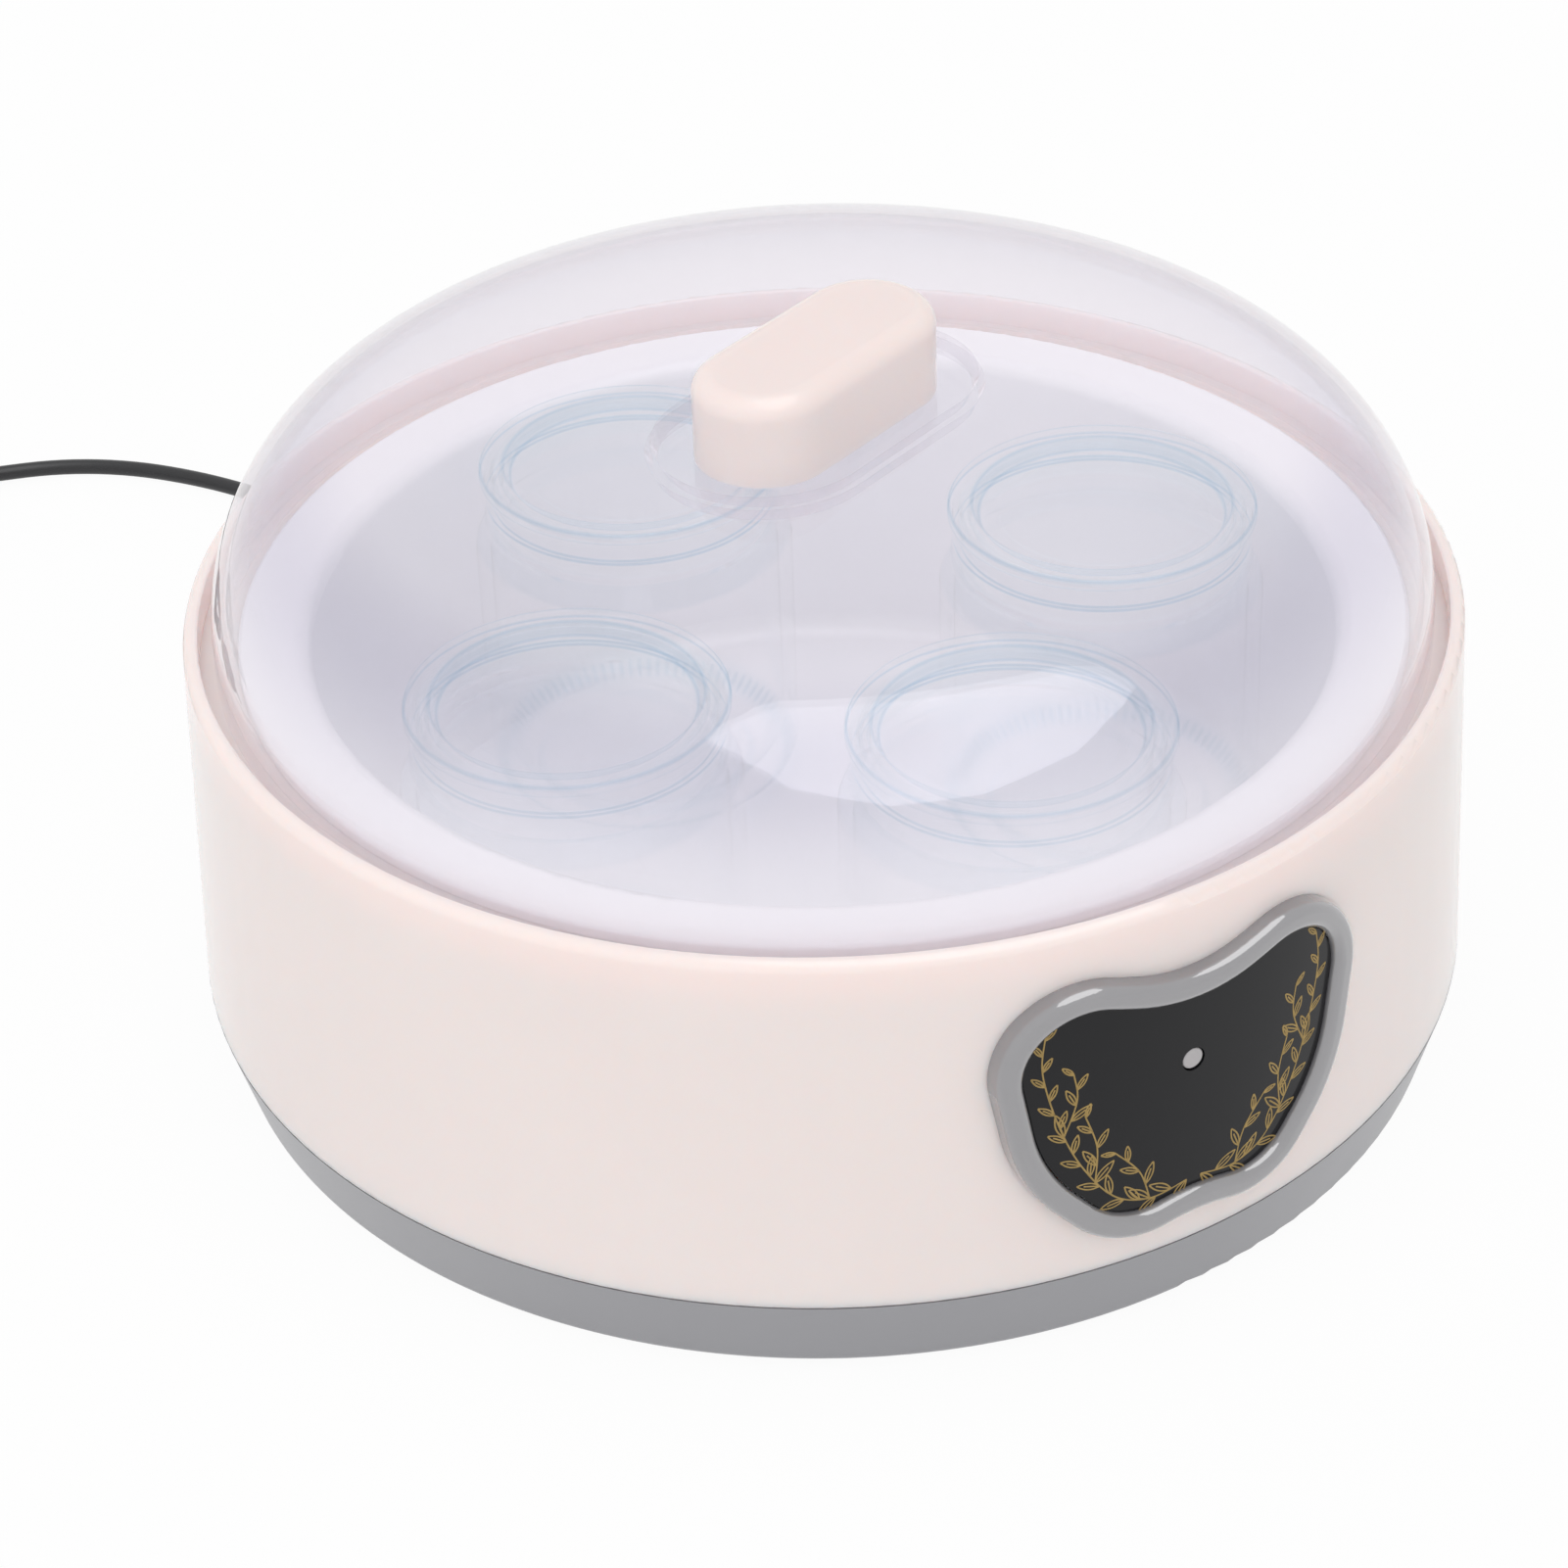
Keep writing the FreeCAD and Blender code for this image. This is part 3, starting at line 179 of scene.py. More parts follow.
cord = cord_curve("mains_cord", cord_points(), CORD_RADIUS)
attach(cord, "housing")
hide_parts("power_cord", "cord_coil")
print("cord points", len(cord.data.splines[0].points))

# %% [markdown]
# ## Colours and nodes
# Colours are written as the hex values a paint program shows. Blender calculates in linear light,
# so one function converts them. A second one adds a node with its settings and links, and a third
# starts a material from it. A Mix node holds the sockets of every data type under the same names,
# so its colours are found by their numbers.

# %% Helpers for materials
WHITE = (1, 1, 1, 1)
MIX_SHARE = 0
MIX_FIRST = 6
MIX_SECOND = 7
MIX_RESULT = 2


def linear(hex_colour):
    """Linear colour of an sRGB hex value such as 'E8E0DC'."""
    channels = [int(hex_colour[i:i + 2], 16) / 255 for i in (0, 2, 4)]
    return [c / 12.92 if c <= 0.04045 else ((c + 0.055) / 1.055) ** 2.4 for c in channels] + [1]


def add(tree, kind, settings=None, links=None):
    """New node with its settings; a link is a socket to join or a plain value to set."""
    node = tree.nodes.new(kind)
    for name, value in (settings or {}).items():
        setattr(node, name, value)
    for name, value in (links or {}).items():
        if isinstance(value, bpy.types.NodeSocket):
            tree.links.new(value, node.inputs[name])
        else:
            node.inputs[name].default_value = value
    return node


def per_metre(size_mm):
    """Scale of a pattern whose features are this many millimetres wide."""
    return 1 / (size_mm * MM)


def new_material(name):
    """Empty material, its tree and its output node."""
    material = bpy.data.materials.new(name)
    material.use_nodes = True
    tree = material.node_tree
    tree.nodes.clear()
    return material, tree, add(tree, "ShaderNodeOutputMaterial")


def dress(material, *nodes):
    """Give CAD nodes a material."""
    for name in nodes:
        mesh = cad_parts[name].data
        mesh.materials.clear()
        mesh.materials.append(material)


print("half grey in linear light", round(linear("808080")[0], 3))

# %% [markdown]
# ## Moulded plastics
# Most of the object is injection moulded. Such a surface copies the polish or the spark-eroded
# grain of its mould, and the colour drifts a little where the melt flowed. One flat colour would
# look painted, so a slow noise gives the drift of colour and a patchy gloss, and a fast noise gives
# the grain as bump. Real grain is about a tenth of a millimetre wide and wouldn't show from here, so
# it is drawn coarser.

# %% Moulded plastic
GLOSS_DRIFT = 0.15
GRAIN_STRENGTH = 0.5
SCATTER_SHARE = 0.7
SCATTER_RADII = (1.0, 0.7, 0.6)


def moulded(name, colour, drift, roughness, patch_mm, grain_mm, grain_depth_mm, ior=1.53, coat_ior=1.0,
            scatter_mm=0.0):
    """Moulded plastic between two close colours, with patchy gloss, a grain, a coat and some depth."""
    material, tree, output = new_material(name)
    place = add(tree, "ShaderNodeTexCoord").outputs["Object"]
    flow = add(tree, "ShaderNodeTexNoise", links={"Vector": place, "Scale": per_metre(patch_mm), "Detail": 3})
    tint = add(tree, "ShaderNodeMix", {"data_type": "RGBA"}, {
        MIX_SHARE: flow.outputs["Fac"], MIX_FIRST: linear(colour), MIX_SECOND: linear(drift)})
    gloss = add(tree, "ShaderNodeMapRange", links={
        "Value": flow.outputs["Fac"], "To Min": roughness * (1 - GLOSS_DRIFT),
        "To Max": roughness * (1 + GLOSS_DRIFT)})
    grain = add(tree, "ShaderNodeTexNoise", links={
        "Vector": place, "Scale": per_metre(grain_mm), "Detail": 2})
    bump = add(tree, "ShaderNodeBump", links={
        "Height": grain.outputs["Fac"], "Distance": grain_depth_mm * MM, "Strength": GRAIN_STRENGTH})
    shader = add(tree, "ShaderNodeBsdfPrincipled", links={
        "Base Color": tint.outputs[MIX_RESULT], "Roughness": gloss.outputs["Result"], "IOR": ior,
        "Normal": bump.outputs["Normal"]})
    if coat_ior > 1:
        shader.inputs["Coat Weight"].default_value = 1.0
        shader.inputs["Coat IOR"].default_value = coat_ior
    if scatter_mm:
        shader.inputs["Subsurface Weight"].default_value = SCATTER_SHARE
        shader.inputs["Subsurface Radius"].default_value = SCATTER_RADII
        shader.inputs["Subsurface Scale"].default_value = scatter_mm * MM
    tree.links.new(shader.outputs["BSDF"], output.inputs["Surface"])
    return material


# %% Casing, pan and tub
# The casing and the knob: glossy cream ABS from a polished mould. Thin walls of it let some light
# through, which comes out warm.
cream_abs = moulded("cream_abs", "EEE0DD", "EBDCD9", roughness=0.14, patch_mm=45, grain_mm=1.2,
                    grain_depth_mm=0.002, scatter_mm=5)
dress(cream_abs, "outer_casing", "lid_handle")
# The pan: the same plastic in grey, from a finely eroded mould, which leaves it satin.
grey_abs = moulded("grey_abs", "939397", "8F8F93", roughness=0.32, patch_mm=40, grain_mm=0.9,
                   grain_depth_mm=0.01)
dress(grey_abs, "base_pan")
# The tub: pale polypropylene, which is a little waxy and has a soft gloss.
pale_polypropylene = moulded("pale_polypropylene", "F7F6F9", "F4F3F7", roughness=0.3, patch_mm=60,
                             grain_mm=2.0, grain_depth_mm=0.005)
dress(pale_polypropylene, "inner_tub")
print("outer mouldings", cream_abs.name, grey_abs.name, pale_polypropylene.name)

# %% Badge
# The frame of the badge: grey ABS under a clear lacquer, which mirrors the room sharply.
bezel_abs = moulded("gloss_grey_abs", "7E7D80", "79787B", roughness=0.1, patch_mm=25, grain_mm=1.5,
                    grain_depth_mm=0.003, coat_ior=2.1)
dress(bezel_abs, "badge_bezel")
# The plate: black acrylic with an anti-glare film, so that it mirrors less than bare plastic.
plate_acrylic = moulded("black_acrylic", "101013", "0C0C0F", roughness=0.1, patch_mm=20, grain_mm=2.0,
                        grain_depth_mm=0.002, ior=1.36)
dress(plate_acrylic, "badge_panel")
# The lamp: epoxy with a diffusing filler, so that it looks milky grey when it is off.
lamp_epoxy = moulded("diffused_epoxy", "AFACAD", "A6A3A4", roughness=0.3, patch_mm=2, grain_mm=0.6,
                     grain_depth_mm=0.004)
dress(lamp_epoxy, "indicator_lamp")
print("badge", bezel_abs.name, plate_acrylic.name, lamp_epoxy.name)

# %% Hidden pieces
# The terminal block and the clamp of the cord: nylon in its natural colour, pale and matt.
natural_nylon = moulded("natural_nylon", "E5E1D6", "DDD8CB", roughness=0.45, patch_mm=12, grain_mm=0.8,
                        grain_depth_mm=0.01)
dress(natural_nylon, "terminal_block", "cord_clamp")
# The cutout: dark brown phenolic, pressed hot and dull.
dark_phenolic = moulded("dark_phenolic", "33291F", "2B231B", roughness=0.5, patch_mm=8, grain_mm=0.6,
                        grain_depth_mm=0.01)
dress(dark_phenolic, "thermal_cutout")
# The heater: fired steatite, a pale ceramic that is as matt as chalk.
pale_steatite = moulded("pale_steatite", "E0DACB", "D6CFBE", roughness=0.6, patch_mm=6, grain_mm=0.5,
                        grain_depth_mm=0.015)
dress(pale_steatite, "heater_element")
# The wires: sleeves of brick red silicone, which stands the heat and has a soft sheen.
red_silicone = moulded("red_silicone", "A5382E", "9A3028", roughness=0.45, patch_mm=10, grain_mm=0.7,
                       grain_depth_mm=0.006)
dress(red_silicone, "inner_leads")
# The board of the lamp: glass laminate under a green varnish.
green_laminate = moulded("green_laminate", "2F6B3C", "285E34", roughness=0.3, patch_mm=5, grain_mm=0.5,
                         grain_depth_mm=0.006)
dress(green_laminate, "lamp_board")
print("materials so far", len(bpy.data.materials))

# %% [markdown]
# ## Rubber, cord sheath and plug
# The gland, the tie and the feet are black rubber, which is matt and a little dusty. The sheath of
# the cord is soft PVC with a satin gloss, and the plug is the same in a stiffer grade. Black would
# hide their shape, so all are dark grey, as real ones are. They are moulded too, so the same
# function gives them.

# %% Rubber and PVC
black_rubber = moulded("black_rubber", "242425", "2C2C2D", roughness=0.7, patch_mm=6, grain_mm=0.5,
                       grain_depth_mm=0.02)
dress(black_rubber, "cord_gland", "coil_tie", "foot_1", "foot_2", "foot_3", "foot_4")
soft_pvc = moulded("soft_pvc", "1B1B1E", "202023", roughness=0.4, patch_mm=15, grain_mm=0.7,
                   grain_depth_mm=0.008)
cord.data.materials.append(soft_pvc)
dress(soft_pvc, "cord_tail")
stiff_pvc = moulded("moulded_pvc", "232325", "29292B", roughness=0.48, patch_mm=10, grain_mm=0.6,
                    grain_depth_mm=0.015)
dress(stiff_pvc, "plug_body")
print("black materials", black_rubber.name, soft_pvc.name, stiff_pvc.name)

# %% [markdown]
# ## Metals
# The screws are zinc plated, the strap is spring steel, the plate under the tub is rolled
# aluminium and the pins of the plug are nickel plated. Metals have no colour drift, but their
# gloss is streaky along the way they were drawn or rolled. Brushing every streak into the mesh
# would be wasted on such small pieces, so a noise is stretched in X.

# %% Bare metal
STREAK_DRIFT = 0.4
STREAK_DEPTH_MM = 0.003
STREAK_STRENGTH = 0.4


def metal(name, colour, roughness, streak_mm, stretch):
    """Bare metal with a gloss that varies in streaks along X."""
    material, tree, output = new_material(name)
    place = add(tree, "ShaderNodeTexCoord").outputs["Object"]
    along = add(tree, "ShaderNodeMapping", links={"Vector": place, "Scale": (1 / stretch, 1, 1)})
    streaks = add(tree, "ShaderNodeTexNoise", links={
        "Vector": along.outputs["Vector"], "Scale": per_metre(streak_mm), "Detail": 4})
    gloss = add(tree, "ShaderNodeMapRange", links={
        "Value": streaks.outputs["Fac"], "To Min": roughness * (1 - STREAK_DRIFT),
        "To Max": roughness * (1 + STREAK_DRIFT)})
    bump = add(tree, "ShaderNodeBump", links={
        "Height": streaks.outputs["Fac"], "Distance": STREAK_DEPTH_MM * MM, "Strength": STREAK_STRENGTH})
    shader = add(tree, "ShaderNodeBsdfPrincipled", links={
        "Base Color": linear(colour), "Metallic": 1.0, "Roughness": gloss.outputs["Result"],
        "Normal": bump.outputs["Normal"]})
    tree.links.new(shader.outputs["BSDF"], output.inputs["Surface"])
    return material


# %% Screws, strap, plate and pins
# Zinc is a light grey with blurred reflections.
zinc_plate = metal("zinc_plated_steel", "C9C9C6", roughness=0.35, streak_mm=0.6, stretch=2)
for held in ("heater_clamp", "lamp_board", "base", "cord_clamp", "handle"):
    dress(zinc_plate, held + "_screws")
# Spring steel and aluminium come from the rolling mill with long streaks.
spring_steel = metal("spring_steel", "B9B8B4", roughness=0.3, streak_mm=0.5, stretch=8)
dress(spring_steel, "heater_clamp")
rolled_aluminium = metal("rolled_aluminium", "D6D7D8", roughness=0.38, streak_mm=0.8, stretch=12)
dress(rolled_aluminium, "heat_spreader")
# Nickel is warmer and shinier.
nickel_plate = metal("nickel_plate", "D0CEC8", roughness=0.2, streak_mm=0.7, stretch=3)
dress(nickel_plate, "plug_pins")
print("metals", zinc_plate.name, spring_steel.name, rolled_aluminium.name, nickel_plate.name)

# %% [markdown]
# ## Clear and translucent pieces
# The lid is clear styrene with a faint lavender tint, the jars are soda-lime glass, and their caps
# are soft polyethylene. A glass shader would bend the light in them. But all three are thin shells
# with parallel faces, so light leaves them in the direction in which it came, and each face is a
# straight window instead, mixed with a mirror that grows from 4% head-on towards grazing angles, as
# on every smooth clear surface. Inside a clear disc or wall light is led along to the rounded edges,
# where it shows as fine tinted lines while flat and upright faces stay clear. These lines of light are
# painted on as a tint of the window, which grows where the slope lies between the two, most of all on
# faces that are rather flat than steep.

# %% Slopes, lines and mirrors of clear faces
HEAD_ON = 0.04
GRAZING_POWER = 5
FLATNESS_POWER = 3
# The highest value that level ** FLATNESS_POWER * upright can have, where level + upright is 1.
MOST_ROUNDED = FLATNESS_POWER ** FLATNESS_POWER / (FLATNESS_POWER + 1) ** (FLATNESS_POWER + 1)
LINE_HALF = 0.3 * MM


def slopes(tree):
    """Sockets that say how level and how upright a face is, each from 0 to 1."""
    parts = add(tree, "ShaderNodeSeparateXYZ", links={
        0: add(tree, "ShaderNodeNewGeometry").outputs["Normal"]})
    level = add(tree, "ShaderNodeMath", {"operation": "ABSOLUTE"}, {0: parts.outputs["Z"]})
    upright = add(tree, "ShaderNodeMath", {"operation": "SUBTRACT"}, {0: 1.0, 1: level.outputs["Value"]})
    return level.outputs["Value"], upright.outputs["Value"]


# Mask of the painted lines: on rounded faces a tint is painted in place of the light led along to the edges.
def rounded_share(tree, level, upright):
    """Socket that is 1 on a rounded edge and 0 on flat and on upright faces."""
    rather_flat = add(tree, "ShaderNodeMath", {"operation": "POWER"}, {0: level, 1: FLATNESS_POWER})
    between = add(tree, "ShaderNodeMath", {"operation": "MULTIPLY"}, {
        0: rather_flat.outputs["Value"], 1: upright})
    rounded = add(tree, "ShaderNodeMapRange", links={
        "Value": between.outputs["Value"], "From Max": MOST_ROUNDED})
    return rounded.outputs["Result"]


# One more painted line of the edge tint, level at a given height.
def with_line(tree, share, place, height):
    """The same share, but 1 on a thin level line at this height."""
    parts = add(tree, "ShaderNodeSeparateXYZ", links={0: place})
    line = add(tree, "ShaderNodeMath", {"operation": "COMPARE"}, {
        0: parts.outputs["Z"], 1: height, 2: LINE_HALF})
    both = add(tree, "ShaderNodeMath", {"operation": "MAXIMUM"}, {0: share, 1: line.outputs["Value"]})
    return both.outputs["Value"]


def mirrored_share(tree, head_on):
    """Socket with the mirrored share of the light: a little head-on, all of it at grazing angles."""
    slant = add(tree, "ShaderNodeLayerWeight")
    rise = add(tree, "ShaderNodeMath", {"operation": "POWER"}, {0: slant.outputs["Facing"], 1: GRAZING_POWER})
    share = add(tree, "ShaderNodeMapRange", links={
        "Value": rise.outputs["Value"], "To Min": head_on, "To Max": 1.0})
    return share.outputs["Result"]


print("most rounded", MOST_ROUNDED)

# %% [markdown]
# The window, its haze and the mirror are mixed in that order. The upright wall of the lid is a
# little hazy, as drawn plastic is where it was stretched most. Lamps shine through without loss.

# %% Clear material
CLEAR_DRIFT = 0.4
HAZE = "F2F0F6"


def see_through(name, face_tint, edge_tint, mirrored, roughness, patch_mm, haze=0.0, line_height=0.0):
    """Clear shell: tints of faces and edges, mirror, gloss, haze of its walls, height of a tinted line."""
    material, tree, output = new_material(name)
    place = add(tree, "ShaderNodeTexCoord").outputs["Object"]
    patches = add(tree, "ShaderNodeTexNoise", links={
        "Vector": place, "Scale": per_metre(patch_mm), "Detail": 1})
    gloss = add(tree, "ShaderNodeMapRange", links={
        "Value": patches.outputs["Fac"], "To Min": roughness * (1 - CLEAR_DRIFT),
        "To Max": roughness * (1 + CLEAR_DRIFT)})
    level, upright = slopes(tree)
    tinted = rounded_share(tree, level, upright)
    if line_height:
        tinted = with_line(tree, tinted, place, line_height)
    # Painted lines of light: the window takes the edge tint where the mask is 1.
    tint = add(tree, "ShaderNodeMix", {"data_type": "RGBA"}, {
        MIX_SHARE: tinted, MIX_FIRST: linear(face_tint), MIX_SECOND: linear(edge_tint)})
    clear = add(tree, "ShaderNodeBsdfTransparent", links={"Color": tint.outputs[MIX_RESULT]})
    window = clear.outputs["BSDF"]
    if haze:
        milky = add(tree, "ShaderNodeBsdfDiffuse", links={"Color": linear(HAZE)})
        veil = add(tree, "ShaderNodeMath", {"operation": "MULTIPLY"}, {0: upright, 1: haze})
        window = add(tree, "ShaderNodeMixShader", links={
            0: veil.outputs["Value"], 1: window, 2: milky.outputs["BSDF"]}).outputs["Shader"]
    mirror = add(tree, "ShaderNodeBsdfGlossy", links={"Color": WHITE, "Roughness": gloss.outputs["Result"]})
    face = add(tree, "ShaderNodeMixShader", links={
        0: mirrored_share(tree, HEAD_ON * mirrored), 1: window, 2: mirror.outputs["BSDF"]})
    swap = add(tree, "ShaderNodeMixShader", links={
        0: add(tree, "ShaderNodeLightPath").outputs["Is Shadow Ray"], 1: face.outputs["Shader"],
        2: add(tree, "ShaderNodeBsdfTransparent").outputs["BSDF"]})
    tree.links.new(swap.outputs["Shader"], output.inputs["Surface"])
    return material


# %% [markdown]
# Glass is the clearest of the three, and the caps are the bluest, with one more tinted line around
# their skirt. In the photograph jars and caps mirror little under the lid, so their mirror is weaker
# than a bare one. A ray through lid, cap and jar crosses more faces than Blender follows by default,
# so that limit is raised.

# %% Styrene, glass and polyethylene
JARS = range(1, 5)
CAP_LINE_DROP = 7 * MM
MOST_FACES_CROSSED = 48

bpy.context.scene.cycles.transparent_max_bounces = MOST_FACES_CROSSED
clear_styrene = see_through("clear_styrene", "FEFDFE", "F3F2F6", mirrored=1.0, roughness=0.02, patch_mm=35,
                            haze=0.24)
jar_glass = see_through("soda_lime_glass", "FFFFFF", "FAFCFD", mirrored=0.3, roughness=0.01, patch_mm=20)
dress(jar_glass, *["jar_%d" % i for i in JARS])
# The caps get one more painted line of their edge tint around the skirt, at this height.
cap_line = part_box("jar_cap_1")[1][2] - CAP_LINE_DROP
soft_polyethylene = see_through("soft_polyethylene", "FEFFFF", "E4F1F8", mirrored=0.4, roughness=0.05,
                                patch_mm=12, line_height=cap_line)
dress(soft_polyethylene, *["jar_cap_%d" % i for i in JARS])
print("clear materials", clear_styrene.name, jar_glass.name, soft_polyethylene.name)

# %% [markdown]
# ## Lid
# The lid keeps the shape of its CAD solid. The CAD mesh shades each face of the solid by itself,
# and on clear plastic the seams between crown, corner and wall would show as fine lines. So the
# lid is a copy whose loose triangles are welded, with smooth shading across everything but the
# sharp edges.

# %% Lid
WELD = 1e-6
SHARP = math.radians(40)


def bmesh_lists(bm):
    """Points, no loose edges, and faces of a bmesh."""
    bm.verts.index_update()
    places = [vert.co.copy() for vert in bm.verts]
    return places, [], [[vert.index for vert in face.verts] for face in bm.faces]


def welded(name, node):
    """Smooth copy of a CAD node's mesh, with its seams closed."""
    bm = bmesh.new()
    bm.from_mesh(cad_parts[node].data)
    bmesh.ops.remove_doubles(bm, verts=bm.verts, dist=WELD)
    mesh = bpy.data.meshes.new(name)
    mesh.from_pydata(*bmesh_lists(bm))
    bm.free()
    mesh.shade_smooth()
    mesh.set_sharp_from_angle(angle=SHARP)
    made = bpy.data.objects.new(name, mesh)
    bpy.context.scene.collection.objects.link(made)
    return made


lid_shell = welded("lid_shell", "lid_cover")
lid_shell.data.materials.append(clear_styrene)
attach(lid_shell, "lid")
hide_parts("lid_cover")
print("lid faces", len(lid_shell.data.polygons))

# %% [markdown]
# ## Geometry Nodes
# What repeats is made by node trees: leaves along the stems of the print, and ribs around the foot
# of each jar. A loop could place each copy, but a tree keeps its sizes together as named inputs. A
# small helper runs a tree on a mesh and keeps the result as a plain mesh, because the model is passed
# on without modifiers.

# %% Helpers for Geometry Nodes


def new_tree(name, inputs):
    """Empty tree with a geometry input and output and one named input for each size."""
    tree = bpy.data.node_groups.new(name, "GeometryNodeTree")
    tree.interface.new_socket("Geometry", in_out="INPUT", socket_type="NodeSocketGeometry")
    for socket_name, kind in inputs.items():
        tree.interface.new_socket(socket_name, in_out="INPUT", socket_type="NodeSocket" + kind)
    tree.interface.new_socket("Geometry", in_out="OUTPUT", socket_type="NodeSocketGeometry")
    return tree, add(tree, "NodeGroupInput").outputs


def run_tree(name, tree, vertices, edges, values):
    """Object with the plain mesh that a tree makes from some points and edges."""
    seed = bpy.data.meshes.new(name + "_seed")
    seed.from_pydata(vertices, edges, [])
    holder = bpy.data.objects.new(name + "_seed", seed)
    bpy.context.scene.collection.objects.link(holder)
    modifier = holder.modifiers.new("nodes", "NODES")
    modifier.node_group = tree
    for item in tree.interface.items_tree:
        if item.in_out == "INPUT" and item.name in values:
            modifier[item.identifier] = values[item.name]
    ready = holder.evaluated_get(bpy.context.evaluated_depsgraph_get())
    mesh = bpy.data.meshes.new_from_object(ready)
    bpy.data.objects.remove(holder)
    mesh.name = name
    made = bpy.data.objects.new(name, mesh)
    bpy.context.scene.collection.objects.link(made)
    return made


# %% [markdown]
# ## Print on the badge
# The plate carries a fine gold line print: leafy sprigs that rise along its sides. A picture on the
# plate would blur close up, so the sprigs are thin flattened lines, drawn flat first and then bent
# onto the curved plate. Only the stems are listed. The tree sets a leaf at each step along
# them, to the left and right in turn and smaller towards the tip. A leaf has two bulging sides and a
# vein. It is drawn one unit long and gets its size where it is set.

# %% One leaf
LEAF_BULGE = 0.3
LEAF_BELLY = 0.45
LEAF_VEIN = 0.7
LEAF_STEPS = 8

sprig_tree, given = new_tree("sprigs", {
    "Leaf Step": "Float", "Leaf Length": "Float", "Leaf Angle": "Float", "Line Radius": "Float",
    "Ink": "Material"})
leaf = add(sprig_tree, "GeometryNodeJoinGeometry")
for bulge in (LEAF_BULGE, -LEAF_BULGE):
    half = add(sprig_tree, "GeometryNodeCurveQuadraticBezier", links={
        "Resolution": LEAF_STEPS, "Start": (0, 0, 0), "Middle": (LEAF_BELLY, bulge, 0), "End": (1, 0, 0)})
    sprig_tree.links.new(half.outputs["Curve"], leaf.inputs["Geometry"])
vein = add(sprig_tree, "GeometryNodeCurvePrimitiveLine", links={"Start": (0, 0, 0), "End": (LEAF_VEIN, 0, 0)})
sprig_tree.links.new(vein.outputs["Curve"], leaf.inputs["Geometry"])
print("lines in a leaf", len(leaf.inputs["Geometry"].links))

# %% Leaves along the stems
TIP_SIZE = 0.55

stems = add(sprig_tree, "GeometryNodeMeshToCurve", links={"Mesh": given["Geometry"]})
smooth = add(sprig_tree, "GeometryNodeCurveSplineType", {"spline_type": "CATMULL_ROM"}, {
    "Curve": stems.outputs["Curve"]})
steps = add(sprig_tree, "GeometryNodeResampleCurve", {"mode": "LENGTH"}, {
    "Curve": smooth.outputs["Curve"], "Length": given["Leaf Step"]})
odd = add(sprig_tree, "ShaderNodeMath", {"operation": "MODULO"}, {
    0: add(sprig_tree, "GeometryNodeInputIndex").outputs["Index"], 1: 2})
side = add(sprig_tree, "ShaderNodeMath", {"operation": "MULTIPLY_ADD"}, {
    0: odd.outputs["Value"], 1: 2, 2: -1})
swing = add(sprig_tree, "ShaderNodeMath", {"operation": "MULTIPLY"}, {
    0: side.outputs["Value"], 1: given["Leaf Angle"]})
along = add(sprig_tree, "FunctionNodeAlignRotationToVector", {"axis": "X", "pivot_axis": "Z"}, {
    "Vector": add(sprig_tree, "GeometryNodeInputTangent").outputs["Tangent"]})
out = add(sprig_tree, "FunctionNodeAxisAngleToRotation", links={
    "Axis": (0, 0, 1), "Angle": swing.outputs["Value"]})
turn = add(sprig_tree, "FunctionNodeRotateRotation", {"rotation_space": "GLOBAL"}, {
    "Rotation": along.outputs["Rotation"], "Rotate By": out.outputs["Rotation"]})
taper = add(sprig_tree, "ShaderNodeMapRange", links={
    "Value": add(sprig_tree, "GeometryNodeSplineParameter").outputs["Factor"],
    "To Min": 1.0, "To Max": TIP_SIZE})
size = add(sprig_tree, "ShaderNodeMath", {"operation": "MULTIPLY"}, {
    0: taper.outputs["Result"], 1: given["Leaf Length"]})
leaves = add(sprig_tree, "GeometryNodeInstanceOnPoints", links={
    "Points": steps.outputs["Curve"], "Instance": leaf.outputs["Geometry"],
    "Rotation": turn.outputs["Rotation"], "Scale": size.outputs["Value"]})
whole = add(sprig_tree, "GeometryNodeRealizeInstances", links={"Geometry": leaves.outputs["Instances"]})
print("nodes with the leaves", len(sprig_tree.nodes))

# %% Lines of ink
PEN_SIDES = 6

lines = add(sprig_tree, "GeometryNodeJoinGeometry")
for part in (smooth.outputs["Curve"], whole.outputs["Geometry"]):
    sprig_tree.links.new(part, lines.inputs["Geometry"])
pen = add(sprig_tree, "GeometryNodeCurvePrimitiveCircle", links={
    "Resolution": PEN_SIDES, "Radius": given["Line Radius"]})
drawn = add(sprig_tree, "GeometryNodeCurveToMesh", links={
    "Curve": lines.outputs["Geometry"], "Profile Curve": pen.outputs["Curve"], "Fill Caps": True})
inked = add(sprig_tree, "GeometryNodeSetMaterial", links={
    "Geometry": drawn.outputs["Mesh"], "Material": given["Ink"]})
add(sprig_tree, "NodeGroupOutput", links={"Geometry": inked.outputs["Geometry"]})
print("sprig tree nodes", len(sprig_tree.nodes))

# %% [markdown]
# The ink is a varnish with fine metal flakes, so it is partly metal and a little uneven in colour.
# The sizes of the print are in millimetres. The plate stands proud of the casing, whose wall leans
# inwards above its seam, and the print follows both.

# %% Badge print
FLAKE_MM = 1.5
LEAF_STEP = 3.1
LEAF_LENGTH = 5.2
LEAF_ANGLE = math.radians(38)
LINE_RADIUS = 0.16
INK_FLATNESS = 0.2
BADGE_MIDDLE = 52.6
PLATE_PROUD = 1.8
SEAM_HEIGHT = 18.3
SEAM_RADIUS = 122.3
CASING_SLOPE = 2.9 / 72.3
STEMS = [
    [(1.5, -19.5), (9, -20.5), (16, -17.5), (22, -9), (26, 1), (28.5, 12), (28, 19)],
    [(9, -20.5), (11, -14), (15.5, -8.5)],
    [(19.5, -13.5), (19, -6), (21, 1)],
    [(25, -2), (22.5, 5), (23, 10.5)],
]


